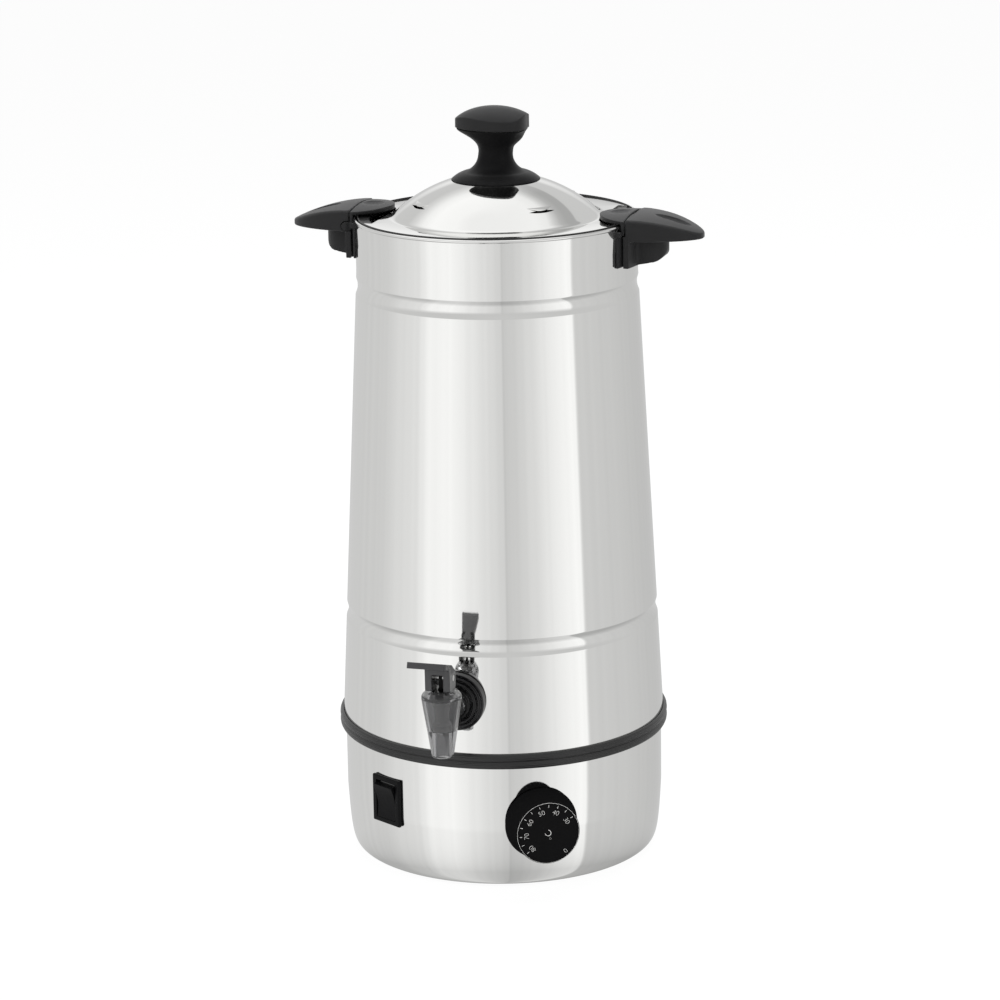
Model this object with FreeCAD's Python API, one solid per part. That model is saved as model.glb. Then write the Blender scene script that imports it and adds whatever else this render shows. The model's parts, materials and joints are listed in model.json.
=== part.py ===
import FreeCAD, Part
import math
import os

os.makedirs("parts", exist_ok=True)

# Mulled wine dispenser: a conical steel pot with a tap, standing on a heated plinth.
# The origin lies on the standing plane under the pot's axis. +Z is up, the tap faces -Y,
# and the handles are on +X and -X. Lengths are in millimetres and angles in degrees.
# An azimuth is counted from the tap's side, positive towards +X.

V = FreeCAD.Vector

# Plinth, a steel shell that rests on four rubber feet
PLINTH_RISE = 3.0
PLINTH_HEIGHT = 90.0
PLINTH_R = 110.9
PLINTH_WALL = 1.2
PLINTH_STRAIGHT_FROM = 42.0
PLINTH_DRAW_IN = 2.4
PLINTH_CORNER_WIDE = 4.8
PLINTH_CORNER_TALL = 12.3
PLINTH_LIP = 6.7
PLINTH_TOP = PLINTH_RISE + PLINTH_HEIGHT

# Rubber gasket that takes the plinth's upper edge and the pot's lower edge
GASKET_PROUD = 4.1
GASKET_GRIP = 4.0
GASKET_LAP = 2.5
GASKET_WEB = 3.5
GASKET_IN = 5.4
GASKET_RIB_DEPTH = 0.9
GASKET_PLAY = 0.15

# Pot, a rolled cone with a straight neck, a rolled rim and a welded floor
POT_HEIGHT = 350.7
POT_FOOT_R = 112.45
POT_WALL = 1.0
NECK_R = 96.0
NECK_HEIGHT = 36.2
CHANNEL_TALL = 12.0
CHANNEL_DEPTH = 1.3
LOWER_CHANNEL_RISE = 75.7
UPPER_CHANNEL_DROP = 46.7
BEAD_R = 1.2
SEAL_LIP_WIDE = 6.5
SEAL_LIP_DROP = 5.4
SEAL_LIP_THICK = 1.0
FLOOR_RISE = 5.5
FLOOR_THICK = 1.2
POT_LOW = PLINTH_TOP + GASKET_WEB
RIM_TOP = POT_LOW + POT_HEIGHT
NECK_LOW = RIM_TOP - NECK_HEIGHT
LOWER_CHANNEL_Z = POT_LOW + LOWER_CHANNEL_RISE
UPPER_CHANNEL_Z = RIM_TOP - UPPER_CHANNEL_DROP
FLOOR_LOW = POT_LOW + FLOOR_RISE
SEAL_LIP_TOP = RIM_TOP - SEAL_LIP_DROP

# Lid with a flat flange, a spherical dome and steam slits
LID_SHEET = 1.0
LID_PLAY = 1.3
LID_PROUD = 0.2
DOME_R = 103.5
DOME_FOOT_R = 71.5
DOME_FILLET = 2.2
SLIT_AZIMUTHS = (-47.5, 47.5, 132.5, 227.5)
SLIT_AT_R = 59.0
SLIT_LONG = 20.0
SLIT_WIDE = 1.4
NOTCH_LONG_END = 51.0
NOTCH_PLAY = 0.8
SEAL_SIDE_PLAY = 0.6
SEAL_WIDE = 8.0
SEAL_EDGE_THICK = 0.5
SEAL_EDGE_RISE = 0.8
SEAL_PLAY = 0.05
LID_R = NECK_R - POT_WALL - LID_PLAY
SEAL_R = NECK_R - POT_WALL - SEAL_SIDE_PLAY
SEAL_BORE_R = SEAL_R - SEAL_WIDE
FLANGE_TOP = RIM_TOP + LID_PROUD
FLANGE_LOW = FLANGE_TOP - LID_SHEET
DOME_CENTRE_Z = FLANGE_TOP - math.sqrt(DOME_R ** 2 - DOME_FOOT_R ** 2)
DOME_TOP = DOME_CENTRE_Z + DOME_R

# Lid knob in two mouldings, with its screw from inside
KNOB_SKIRT_R = 30.3
KNOB_SHOULDER_R = 22.0
KNOB_SHOULDER_RISE = 5.4
KNOB_WAIST_RISE = 16.5
KNOB_SKIRT_BOW = 0.55
KNOB_NECK_BOW = 2.5
KNOB_NECK_R = 11.8
KNOB_NECK_RISE = 14.3
KNOB_PART_RISE = 30.4
KNOB_TOP_RISE = 45.6
KNOB_LEFT = 28.3
KNOB_RIGHT = 22.0
KNOB_HALF_DEPTH = 18.6
KNOB_SEAM = 0.5
KNOB_OFF_CENTRE = 0.75
KNOB_SKIRT_EDGE = 0.5
KNOB_CROWN_LONG = 32.5
KNOB_CROWN_WIDE = 22.4
KNOB_CROWN_DEEP = 3.8
KNOB_SCREW_R = 2.5
KNOB_SCREW_LONG = 12.0
KNOB_HEAD_R = 4.5
KNOB_HEAD_TALL = 2.4
KNOB_WASHER_R = 9.0
KNOB_WASHER_THICK = 1.2

# Side handles, drawn for the +X side, with every reach counted from the neck's wall
NOSE_OVER_LID = 22.8
HANDLE_WIDEST_IN = 6.0
HANDLE_TIP_OUT = 48.5
SEAM_OUT = 0.3
TONGUE_END_OUT = 5.8
GUARD_END_OUT = 24.2
NOSE_HALF_END = 7.5
NOSE_HALF_MID = 21.4
HANDLE_HALF = 27.6
SEAM_GAP = 0.9
NOSE_LIFT = 1.1
NOSE_SIDE_TALL = 2.9
NOSE_CROWN = 1.5
SHANK_DROP = 6.2
TONGUE_TALL = 5.6
TONGUE_THICK = 5.4
TONGUE_DROP = 4.0
TONGUE_PLAY = 0.6
BEAD_PLAY = 0.4
GRIP_RIDGE_RISE = 4.0
GRIP_DROP = 11.2
GRIP_CROWN = 1.2
GRIP_UNDER_DROP = 10.7
LEG_THICK = 5.2
LEG_HALF = 27.6
LEG_LOW_DROP = 28.6
PAD_THICK = 1.6
PAD_HALF = 30.6
PAD_LOW_DROP = 28.2
PAD_TOP_DROP = 3.6
PAD_HOOK_PROUD = 3.4
PAD_HOOK_TALL = 2.6
GUARD_HALF = 15.0
GUARD_LOW_DROP = 26.4
GUARD_CORNER = 9.0
GUARD_FILLET = 4.0
HANDLE_SCREW_R = 2.5
HANDLE_SCREW_SPREAD = 9.0
HANDLE_SCREW_DROP = 18.0
HANDLE_SCREW_LONG = 16.0
INSERT_R = 3.6
INSERT_LONG = 9.0
CROWN_LONG = 76.0
CROWN_WIDE = 66.0
CROWN_DEEP = 24.0
DISH_IN = 9.5
DISH_LONG = 10.0
DISH_WIDE = 14.0
DISH_TALL = 4.6
DISH_LIFT = 2.9
LEAF_OUT = 28.0
LEAF_LONG = 15.0
LEAF_WIDE = 5.6
LEAF_DEEP = 2.8
LEAF_LIFT = 0.5
RELIEF_FROM = 23.0
RELIEF_DEEP = 1.6
GRIP_SHARES = (0.2, 0.41, 0.6, 0.742, 0.867, 0.949)
GRIP_END_GAP = 0.25
NOSE_REACH = NECK_R - NOSE_OVER_LID
HANDLE_MID_X = NECK_R - HANDLE_WIDEST_IN
HANDLE_TIP_X = NECK_R + HANDLE_TIP_OUT
SEAM_X = NECK_R + SEAM_OUT
TONGUE_END_X = NECK_R + TONGUE_END_OUT
GUARD_END_X = NECK_R + GUARD_END_OUT

# Tap: shank through the wall, clear spout, bonnet, stem with its cup, and lever
TAP_RISE = 39.5
TAP_COLLAR_R = 19.7
TAP_COLLAR_THICK = 4.2
TAP_WASHER_THICK = 1.5
TAP_SHANK_R = 8.0
TAP_BORE_R = 5.0
TAP_SHANK_IN = 18.0
TAP_NUT_ACROSS = 24.0
TAP_NUT_THICK = 7.0
SPOUT_STAND_OFF = 36.2
SPOUT_TOP_R = 13.8
SPOUT_TIP_R = 7.4
SPOUT_WALL = 2.2
SPOUT_TOP_RISE = 18.5
SPOUT_TIP_DROP = 27.5
SPOUT_BRANCH_R = 8.6
SPOUT_SHOULDER_R = 3.6
OUTLET_R = 4.6
SEAT_DROP = 9.0
BONNET_R = 7.5
BONNET_DEEP = 6.6
BONNET_PROUD = 0.4
STEM_R = 2.4
STEM_BLADE_HALF = 1.2
PIN_R = 2.0
PIN_HALF = 8.4
RUN_PLAY = 0.05
PIN_RISE = 8.5
CAM_GAIN = 4.5
CAM_PLAY = 0.15
LEVER_SWING = 28.0
LEVER_TILT = 18.3
LEVER_REACH = 35.2
LEVER_END_HALF = 13.4
LEVER_NECK_HALF = 7.4
LEVER_THICK = 4.2
LEVER_OVER_PIN = 6.6
CHEEK_IN = 4.0
CHEEK_OUT = 8.6
CHEEK_BACK = 4.4
CHEEK_SHOULDER = 4.6
CUP_R = 6.6
CUP_FLANGE_R = 7.2

# Heating under the pot's floor
ROD_R = 3.0
PLATE_R = 80.0
PLATE_THICK = 3.4
ELEMENT_R = 58.0
ELEMENT_TUBE_R = 3.5
ELEMENT_OPEN = 36.0
ELEMENT_BEND_R = 9.0
ELEMENT_COLD_LONG = 10.0
CLAMP_R = 66.5
CLAMP_THICK = 2.0
NUT_ACROSS = 10.0
NUT_THICK = 4.8
SHIELD_R = 66.0
SHIELD_THICK = 0.8
HOLE_PLAY = 0.3
BULB_R = 3.0
BULB_LONG = 56.0
BULB_AT_R = 72.0
CLIP_LONG = 9.0
CLIP_SHEET = 0.8
CAPILLARY_R = 0.8
CUTOUT_R = 6.0
CUTOUT_TALL = 9.0
CUTOUT_AT_R = 73.4
CUTOUT_AZIMUTH = 150.0

# Base plate, feet and their fasteners
BASE_IN = 8.9
BASE_THICK = 1.2
FOOT_R = 9.0
FOOT_IN = 24.9
FOOT_COUNT = 4
FOOT_SCREW_R = 2.0
FOOT_HEAD_R = 3.6
FOOT_HEAD_TALL = 1.4
FOOT_RECESS = 2.2
FOOT_SCREW_LONG = 8.0
FOOT_NUT_ACROSS = 7.0
FOOT_NUT_THICK = 3.0
TIE_NUT_THICK = 2.8
BASE_R = PLINTH_R - BASE_IN
FOOT_AT_R = PLINTH_R - FOOT_IN

# Thermostat with its knob
THERMO_AZIMUTH = 28.7
THERMO_RISE = 45.7
DIAL_R = 25.0
DIAL_FACE_R = 21.6
DIAL_PROUD = 22.0
DIAL_GAP = 0.4
DIAL_WALL = 2.0
DIAL_RIM = 0.35
HUB_R = 6.5
SPINDLE_R = 3.0
THERMO_HALF_WIDE = 17.0
THERMO_TALL = 36.0
THERMO_DEEP = 30.0
THERMO_GAP = 1.3
THERMO_SCREW_SPREAD = 14.0
THERMO_SCREW_R = 2.0
THERMO_HEAD_R = 3.5

# Rocker switch
SWITCH_AZIMUTH = -30.4
SWITCH_RISE = 51.9
BEZEL_WIDE = 26.8
BEZEL_TALL = 33.5
BEZEL_PROUD = 2.0
SWITCH_BODY_WIDE = 22.0
SWITCH_BODY_TALL = 28.6
SWITCH_BODY_DEEP = 22.0
POCKET_WIDE = 19.0
POCKET_TALL = 26.6
POCKET_DEEP = 11.0
ROCKER_PLAY = 0.3
ROCKER_TALL = 24.6
ROCKER_THICK = 6.0
ROCKER_TILT = 8.0
ROCKER_PIN_R = 1.5
ROCKER_PIN_IN = 0.7

# Cable entry and wiring
GLAND_RISE = 55.0
GLAND_R = 9.5
GLAND_PROUD = 4.0
GLAND_NECK_R = 6.0
GLAND_BORE_R = 3.7
GLAND_IN = 14.0
GLAND_NUT_ACROSS = 17.0
GLAND_NUT_THICK = 4.0
BLOCK_WIDE = 30.0
BLOCK_DEEP = 16.0
BLOCK_TALL = 14.0
BLOCK_AT_Y = 64.0

PARTS = {}


# Small helpers

def rod(radius, start, end):
    start, end = V(*start), V(*end)
    return Part.makeCylinder(radius, (end - start).Length, start, end - start)


def disc(radius, low, high, x=0.0, y=0.0):
    return rod(radius, (x, y, low), (x, y, high))


def ring(outer, inner, low, high):
    return disc(outer, low, high).cut(disc(inner, low - 1, high + 1))


def block(x, y, z):
    return Part.makeBox(x[1] - x[0], y[1] - y[0], z[1] - z[0], V(x[0], y[0], z[0]))


def in_section(r, z):
    return V(r, 0, z)


def in_plan(x, y):
    return V(x, y, 0)


def in_side(y, z):
    return V(0, y, z)


def outline(place, start, *steps):
    """Closed wire. A step is a point, or a pair of points for an arc through the first to the second."""
    edges = []
    here = start
    for step in steps + (start,):
        arc = isinstance(step[0], tuple)
        end = step[1] if arc else step
        if arc:
            edges.append(Part.Arc(place(*here), place(*step[0]), place(*end)).toShape())
        elif math.dist(here, end) > 1e-6:
            edges.append(Part.LineSegment(place(*here), place(*end)).toShape())
        here = end
    return Part.Wire(edges)


def bowed(start, end, bow):
    """Middle of an arc from start up to end that bows away from the axis by bow."""
    across, up = end[0] - start[0], end[1] - start[1]
    long = math.hypot(across, up)
    return ((start[0] + end[0]) / 2 + bow * up / long, (start[1] + end[1]) / 2 - bow * across / long)


def spin(wire):
    shape = Part.Face(wire).revolve(V(0, 0, 0), V(0, 0, 1), 360)
    if shape.Volume < 0:
        shape.reverse()
    return shape


def prism(wire, x=0.0, y=0.0, z=0.0, base=(0, 0, 0)):
    face = Part.Face(wire)
    face.translate(V(*base))
    return face.extrude(V(x, y, z))


def turned(shape, azimuth, x=0.0, y=0.0):
    copy = shape.copy()
    copy.rotate(V(x, y, 0), V(0, 0, 1), azimuth)
    return copy


def hexagon(across, low, high, bore, x=0.0, y=0.0):
    corner = across / math.sqrt(3)
    points = [(corner * math.cos(math.radians(60 * i)), corner * math.sin(math.radians(60 * i)))
              for i in range(6)]
    nut = prism(outline(in_plan, *points), z=high - low, base=(x, y, low))
    return nut.cut(disc(bore, low - 1, high + 1, x, y))


def lying(shape, y, z):
    """Turn a shape made along +Z about the axis so that it points to -Y from (0, y, z)."""
    copy = shape.copy()
    copy.rotate(V(0, 0, 0), V(1, 0, 0), 90)
    copy.translate(V(0, y, z))
    return copy


def tube(radius, points):
    """Tube along straight runs joined by tangent arcs, each 0.45 of its shorter run."""
    points = [V(*p) for p in points]
    edges = []
    here = points[0]
    for before, corner, after in zip(points, points[1:], points[2:]):
        back = (before - corner).normalize()
        ahead = (after - corner).normalize()
        reach = 0.45 * min((before - corner).Length, (after - corner).Length)
        start, end = corner + back * reach, corner + ahead * reach
        middle = (back + ahead).normalize()
        half = back.getAngle(ahead) / 2
        centre = corner + middle * (reach / math.cos(half))
        through = centre - middle * (reach * math.tan(half))
        edges.append(Part.LineSegment(here, start).toShape())
        edges.append(Part.Arc(start, through, end).toShape())
        here = end
    edges.append(Part.LineSegment(here, points[-1]).toShape())
    wire = Part.Wire(edges)
    profile = Part.Wire(Part.Circle(points[0], points[1] - points[0], radius).toShape())
    return wire.makePipeShell([profile], True, True)


def smooth_loop(points, z):
    curve = Part.BSplineCurve()
    curve.interpolate([V(x, y, z) for x, y in points], PeriodicFlag=True)
    return Part.Wire(curve.toShape())


# Pot

def pot_r(z):
    share = (z - POT_LOW) / (NECK_LOW - POT_LOW)
    return POT_FOOT_R + (NECK_R - POT_FOOT_R) * min(share, 1.0)


def pot_body(inset, low, high):
    """All that the pot's outer face encloses, drawn in by inset."""
    steps = [(pot_r(low) - inset, low)]
    for middle in (LOWER_CHANNEL_Z, UPPER_CHANNEL_Z):
        start, end = middle - CHANNEL_TALL / 2, middle + CHANNEL_TALL / 2
        steps.append((pot_r(start) - inset, start))
        steps.append(((pot_r(middle) - inset - CHANNEL_DEPTH, middle), (pot_r(end) - inset, end)))
    steps += [(NECK_R - inset, NECK_LOW), (NECK_R - inset, high), (0, high)]
    return spin(outline(in_section, (0, low), *steps))


def handle_screw_lines():
    for side in (1, -1):
        for y in (-HANDLE_SCREW_SPREAD, HANDLE_SCREW_SPREAD):
            yield side, y, RIM_TOP - HANDLE_SCREW_DROP


def make_pot():
    bead_z = RIM_TOP - BEAD_R
    pot = pot_body(0, POT_LOW, bead_z).cut(pot_body(POT_WALL, POT_LOW - 1, bead_z + 1))
    pot = pot.fuse(Part.makeTorus(NECK_R, BEAD_R, V(0, 0, bead_z)))
    floor_top = FLOOR_LOW + FLOOR_THICK
    pot = pot.fuse(disc(pot_r(floor_top) - POT_WALL / 2, FLOOR_LOW, floor_top))
    lip = ring(NECK_R - POT_WALL / 2, NECK_R - POT_WALL - SEAL_LIP_WIDE,
               SEAL_LIP_TOP - SEAL_LIP_THICK, SEAL_LIP_TOP)
    pot = pot.fuse(lip)
    pot = pot.cut(rod(TAP_SHANK_R + HOLE_PLAY, (0, 0, TAP_Z), (0, -2 * POT_FOOT_R, TAP_Z)))
    for side, y, z in handle_screw_lines():
        pot = pot.cut(rod(HANDLE_SCREW_R + HOLE_PLAY, (side * NECK_R / 2, y, z), (side * 2 * NECK_R, y, z)))
    PARTS["vessel"] = pot.removeSplitter()


# Plinth and gasket

def plinth_side(inset):
    """The curved lower side as a smooth curve, from the underside up to the straight wall."""
    corner_r = PLINTH_R - PLINTH_DRAW_IN - PLINTH_CORNER_WIDE
    diagonal = math.sqrt(0.5)
    low = PLINTH_RISE + PLINTH_CORNER_TALL
    high = PLINTH_RISE + PLINTH_STRAIGHT_FROM
    points = [(corner_r, PLINTH_RISE + inset),
              (corner_r + PLINTH_CORNER_WIDE * diagonal - inset * diagonal,
               low - (PLINTH_CORNER_TALL - inset) * diagonal),
              (PLINTH_R - PLINTH_DRAW_IN - inset, low),
              (PLINTH_R - PLINTH_DRAW_IN * 0.4 - inset, (low + high) / 2),
              (PLINTH_R - inset, high)]
    curve = Part.BSplineCurve()
    curve.interpolate([in_section(r, z) for r, z in points],
                      InitialTangent=V(1, 0, 0), FinalTangent=V(0, 0, 1))
    return curve.toShape(), points


def plinth_body(inset, top):
    side, points = plinth_side(inset)
    (low_r, low), (high_r, high) = points[0], points[-1]
    corners = [(high_r, high), (high_r, top), (0, top), (0, low), (low_r, low)]
    lines = [Part.LineSegment(in_section(*a), in_section(*b)).toShape() for a, b in zip(corners, corners[1:])]
    return spin(Part.Wire([side] + lines))


def make_plinth():
    shell = plinth_body(0, PLINTH_TOP).cut(plinth_body(PLINTH_WALL, PLINTH_TOP + 1))
    lip_r = PLINTH_R - PLINTH_DRAW_IN - PLINTH_CORNER_WIDE - PLINTH_LIP
    shell = shell.cut(disc(lip_r, 0, PLINTH_RISE + PLINTH_WALL + 1))
    dial_hole = rod(HUB_R, (0, -PLINTH_R / 2, THERMO_Z), (0, -2 * PLINTH_R, THERMO_Z))
    shell = shell.cut(turned(dial_hole, THERMO_AZIMUTH))
    for x in (-THERMO_SCREW_SPREAD, THERMO_SCREW_SPREAD):
        hole = rod(THERMO_SCREW_R + HOLE_PLAY, (x, -PLINTH_R / 2, THERMO_Z), (x, -2 * PLINTH_R, THERMO_Z))
        shell = shell.cut(turned(hole, THERMO_AZIMUTH))
    half_wide = SWITCH_BODY_WIDE / 2 + HOLE_PLAY
    half_tall = SWITCH_BODY_TALL / 2 + HOLE_PLAY
    window = block((-half_wide, half_wide), (-2 * PLINTH_R, -PLINTH_R / 2),
                   (SWITCH_Z - half_tall, SWITCH_Z + half_tall))
    shell = shell.cut(turned(window, SWITCH_AZIMUTH))
    gland_hole = rod(GLAND_NECK_R + HOLE_PLAY, (0, PLINTH_R / 2, GLAND_Z), (0, 2 * PLINTH_R, GLAND_Z))
    PARTS["plinth_shell"] = shell.cut(gland_hole)


def make_gasket():
    low, high = PLINTH_TOP - GASKET_GRIP, POT_LOW + GASKET_LAP
    outer = PLINTH_R + GASKET_PROUD
    inner = PLINTH_R - GASKET_IN
    waist = (low + high) / 2
    mid_low, mid_high = (low + waist) / 2, (waist + high) / 2
    step = outer - GASKET_RIB_DEPTH
    pot_in = pot_r(POT_LOW) - POT_WALL - 2 * GASKET_PLAY
    pot_out = pot_r(POT_LOW) + GASKET_PLAY
    plinth_in = PLINTH_R - PLINTH_WALL - GASKET_PLAY
    plinth_out = PLINTH_R + GASKET_PLAY
    section = outline(
        in_section, (inner, low), (plinth_in, low), (plinth_in, PLINTH_TOP), (plinth_out, PLINTH_TOP),
        (plinth_out, low), (step, low), ((outer, mid_low), (step, waist)), ((outer, mid_high), (step, high)),
        (pot_out, high), (pot_out, POT_LOW), (pot_in, POT_LOW), (pot_in, high), (inner, high))
    PARTS["plinth_gasket"] = spin(section)


# Base plate, feet and tie rod

def foot_places():
    for i in range(FOOT_COUNT):
        angle = math.radians(360 / FOOT_COUNT * (i + 0.5))
        yield FOOT_AT_R * math.cos(angle), FOOT_AT_R * math.sin(angle)


def make_base():
    low = PLINTH_RISE + PLINTH_WALL
    high = low + BASE_THICK
    plate = disc(BASE_R, low, high).cut(disc(ROD_R + HOLE_PLAY, 0, high + 1))
    feet, screws, nuts = [], [], []
    for x, y in foot_places():
        hole = disc(FOOT_SCREW_R + HOLE_PLAY, -1, high + 1, x, y)
        plate = plate.cut(hole)
        foot = disc(FOOT_R, 0, low, x, y).cut(hole).cut(disc(FOOT_HEAD_R + HOLE_PLAY, -1, FOOT_RECESS, x, y))
        feet.append(foot.makeChamfer(0.8, [e for e in foot.Edges if e.BoundBox.ZMax < 0.01
                                           and e.Length > 2 * math.pi * (FOOT_R - 0.1)]))
        head = disc(FOOT_HEAD_R, FOOT_RECESS - FOOT_HEAD_TALL, FOOT_RECESS, x, y)
        screws.append(head.fuse(disc(FOOT_SCREW_R, FOOT_RECESS - FOOT_HEAD_TALL / 2,
                                     FOOT_RECESS + FOOT_SCREW_LONG, x, y)).removeSplitter())
        nuts.append(hexagon(FOOT_NUT_ACROSS, high, high + FOOT_NUT_THICK, FOOT_SCREW_R, x, y))
    PARTS["base_plate"] = plate
    PARTS["feet"] = Part.Compound(feet)
    PARTS["foot_screws"] = Part.Compound(screws)
    PARTS["foot_nuts"] = Part.Compound(nuts)
    PARTS["tie_rod"] = disc(ROD_R, low - TIE_NUT_THICK, FLOOR_LOW)
    PARTS["tie_nut"] = hexagon(NUT_ACROSS, low - TIE_NUT_THICK, low, ROD_R)


# Heating under the floor

def element_path():
    """Ring under the plate whose two ends turn down to the terminals."""
    z = FLOOR_LOW - PLATE_THICK - ELEMENT_TUBE_R
    half = math.radians(ELEMENT_OPEN / 2)
    ends = []
    for side in (1, -1):
        foot = V(side * ELEMENT_R * math.sin(half), ELEMENT_R * math.cos(half), z)
        along = V(-side * math.cos(half), math.sin(half), 0)
        turn = foot + along * ELEMENT_BEND_R - V(0, 0, ELEMENT_BEND_R)
        knee = foot + along * (ELEMENT_BEND_R * math.sin(math.pi / 4))
        knee = knee - V(0, 0, ELEMENT_BEND_R * (1 - math.cos(math.pi / 4)))
        tip = turn - V(0, 0, ELEMENT_COLD_LONG)
        ends.append((foot, knee, turn, tip))
    (foot_a, knee_a, turn_a, tip_a), (foot_b, knee_b, turn_b, tip_b) = ends
    return Part.Wire([Part.LineSegment(tip_a, turn_a).toShape(),
                      Part.Arc(turn_a, knee_a, foot_a).toShape(),
                      Part.Arc(foot_a, V(0, -ELEMENT_R, z), foot_b).toShape(),
                      Part.Arc(foot_b, knee_b, turn_b).toShape(),
                      Part.LineSegment(turn_b, tip_b).toShape()]), tip_a, tip_b


def make_heater():
    plate_low = FLOOR_LOW - PLATE_THICK
    clamp_top = plate_low - 2 * ELEMENT_TUBE_R
    clamp_low = clamp_top - CLAMP_THICK
    shield_top = clamp_low - NUT_THICK
    shield_low = shield_top - SHIELD_THICK
    bore = disc(ROD_R + HOLE_PLAY, 0, FLOOR_LOW + 1)
    PARTS["heating_plate"] = disc(PLATE_R, plate_low, FLOOR_LOW).cut(bore)
    wire, tip_a, tip_b = element_path()
    profile = Part.Wire(Part.Circle(tip_a, V(0, 0, 1), ELEMENT_TUBE_R).toShape())
    PARTS["heating_element"] = wire.makePipeShell([profile], True, True)
    clamp = disc(CLAMP_R, clamp_low, clamp_top).cut(bore)
    shield = disc(SHIELD_R, shield_low, shield_top).cut(bore)
    reach = ELEMENT_TUBE_R + 1.5
    slot_x = ELEMENT_R * math.sin(math.radians(ELEMENT_OPEN / 2)) + reach
    slot_y = tip_a.y - 2 * reach
    clamp = clamp.cut(block((-slot_x, slot_x), (slot_y, CLAMP_R), (clamp_low - 1, clamp_top + 1)))
    for tip in (tip_a, tip_b):
        shield = shield.cut(disc(reach, shield_low - 1, shield_top + 1, tip.x, tip.y))
    PARTS["element_clamp"] = clamp
    PARTS["heat_shield"] = shield
    PARTS["rod_nuts"] = Part.Compound([hexagon(NUT_ACROSS, shield_top, clamp_low, ROD_R),
                                       hexagon(NUT_ACROSS, shield_low - NUT_THICK, shield_low, ROD_R)])
    make_bulb(plate_low)
    cutout = disc(CUTOUT_R, plate_low - CUTOUT_TALL, plate_low, 0, -CUTOUT_AT_R)
    for x in (-3.0, 3.0):
        blade = block((x - 0.4, x + 0.4), (-CUTOUT_AT_R - 2.4, -CUTOUT_AT_R + 2.4),
                      (plate_low - CUTOUT_TALL - 8, plate_low - CUTOUT_TALL + 1))
        cutout = cutout.fuse(blade)
    PARTS["overheat_cutout"] = turned(cutout.removeSplitter(), CUTOUT_AZIMUTH)


def make_bulb(plate_low):
    z = plate_low - BULB_R
    y = -BULB_AT_R
    half = BULB_LONG / 2
    PARTS["thermostat_bulb"] = turned(rod(BULB_R, (-half, y, z), (half, y, z)), THERMO_AZIMUTH)
    outer = BULB_R + CLIP_SHEET
    reach = 2.2 * outer
    end = CLIP_LONG / 2
    saddle = rod(outer, (-end, y, z), (end, y, z))
    wings = block((-end, end), (y - reach, y + reach), (plate_low - CLIP_SHEET, plate_low))
    clip = saddle.fuse(wings).common(block((-end, end), (y - reach, y + reach), (z - outer, plate_low)))
    way_in = block((-end, end), (y - BULB_R, y + BULB_R), (z, plate_low + 1))
    clip = clip.cut(rod(BULB_R, (-end, y, z), (end, y, z)).fuse(way_in))
    PARTS["bulb_clip"] = turned(clip.removeSplitter(), THERMO_AZIMUTH)
    body_top = THERMO_Z + THERMO_TALL / 2
    route = [(half, y, z), (half + 12, y, z), (half + 14, y - 8, z - 10), (half - 2, y - 16, body_top + 8),
             (THERMO_HALF_WIDE - 5, y - 16, body_top + 6), (THERMO_HALF_WIDE - 5, y - 16, body_top)]
    PARTS["thermostat_capillary"] = turned(tube(CAPILLARY_R, route), THERMO_AZIMUTH)


# Thermostat

def make_thermostat():
    sag = PLINTH_R - math.sqrt(PLINTH_R ** 2 - THERMO_HALF_WIDE ** 2)
    front = -(PLINTH_R - PLINTH_WALL - sag - THERMO_GAP)
    low, high = THERMO_Z - THERMO_TALL / 2, THERMO_Z + THERMO_TALL / 2
    body = block((-THERMO_HALF_WIDE, THERMO_HALF_WIDE), (front, front + THERMO_DEEP), (low, high))
    spindle_end = front + 12
    body = body.cut(rod(SPINDLE_R + RUN_PLAY, (0, front - 1, THERMO_Z), (0, spindle_end, THERMO_Z)))
    screws = []
    head_y = -math.sqrt(PLINTH_R ** 2 - (THERMO_SCREW_SPREAD - THERMO_HEAD_R) ** 2)
    for x in (-THERMO_SCREW_SPREAD, THERMO_SCREW_SPREAD):
        shank = rod(THERMO_SCREW_R, (x, head_y, THERMO_Z), (x, front + 6, THERMO_Z))
        body = body.cut(rod(THERMO_SCREW_R, (x, front - 1, THERMO_Z), (x, front + 7, THERMO_Z)))
        screws.append(rod(THERMO_HEAD_R, (x, head_y - 1.4, THERMO_Z), (x, head_y, THERMO_Z)).fuse(shank))
    PARTS["thermostat_body"] = turned(body, THERMO_AZIMUTH)
    PARTS["thermostat_screws"] = turned(Part.Compound([s.removeSplitter() for s in screws]), THERMO_AZIMUTH)
    back = PLINTH_R + DIAL_GAP
    face = PLINTH_R + DIAL_PROUD
    wall = DIAL_WALL
    slope = (DIAL_R - DIAL_FACE_R) / (face - back)
    inner_face_r = DIAL_FACE_R + slope * wall - wall
    section = outline(
        in_section, (DIAL_R - wall, back), (DIAL_R, back), (DIAL_R, back + 1.2),
        ((DIAL_FACE_R + slope * 9.0, face - 8.0), (DIAL_FACE_R + 0.4, face - 0.9)),
        ((DIAL_FACE_R + 0.1, face - 0.1), (DIAL_FACE_R - 0.8, face)), (DIAL_FACE_R - 1.6, face),
        (DIAL_FACE_R - 1.9, face - DIAL_RIM), (SPINDLE_R, face - DIAL_RIM), (0, face - DIAL_RIM),
        (0, face - 4.0), (SPINDLE_R, face - 4.0), (SPINDLE_R, back + 2.4), (HUB_R, back + 2.4),
        (HUB_R, face - wall - 1), (inner_face_r, face - wall - 1))
    PARTS["thermostat_knob"] = turned(lying(spin(section), 0, THERMO_Z), THERMO_AZIMUTH)
    spindle = rod(SPINDLE_R, (0, spindle_end - 0.5, THERMO_Z), (0, -(face - 4.0), THERMO_Z))
    PARTS["thermostat_spindle"] = turned(spindle, THERMO_AZIMUTH)


# Rocker switch

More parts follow.
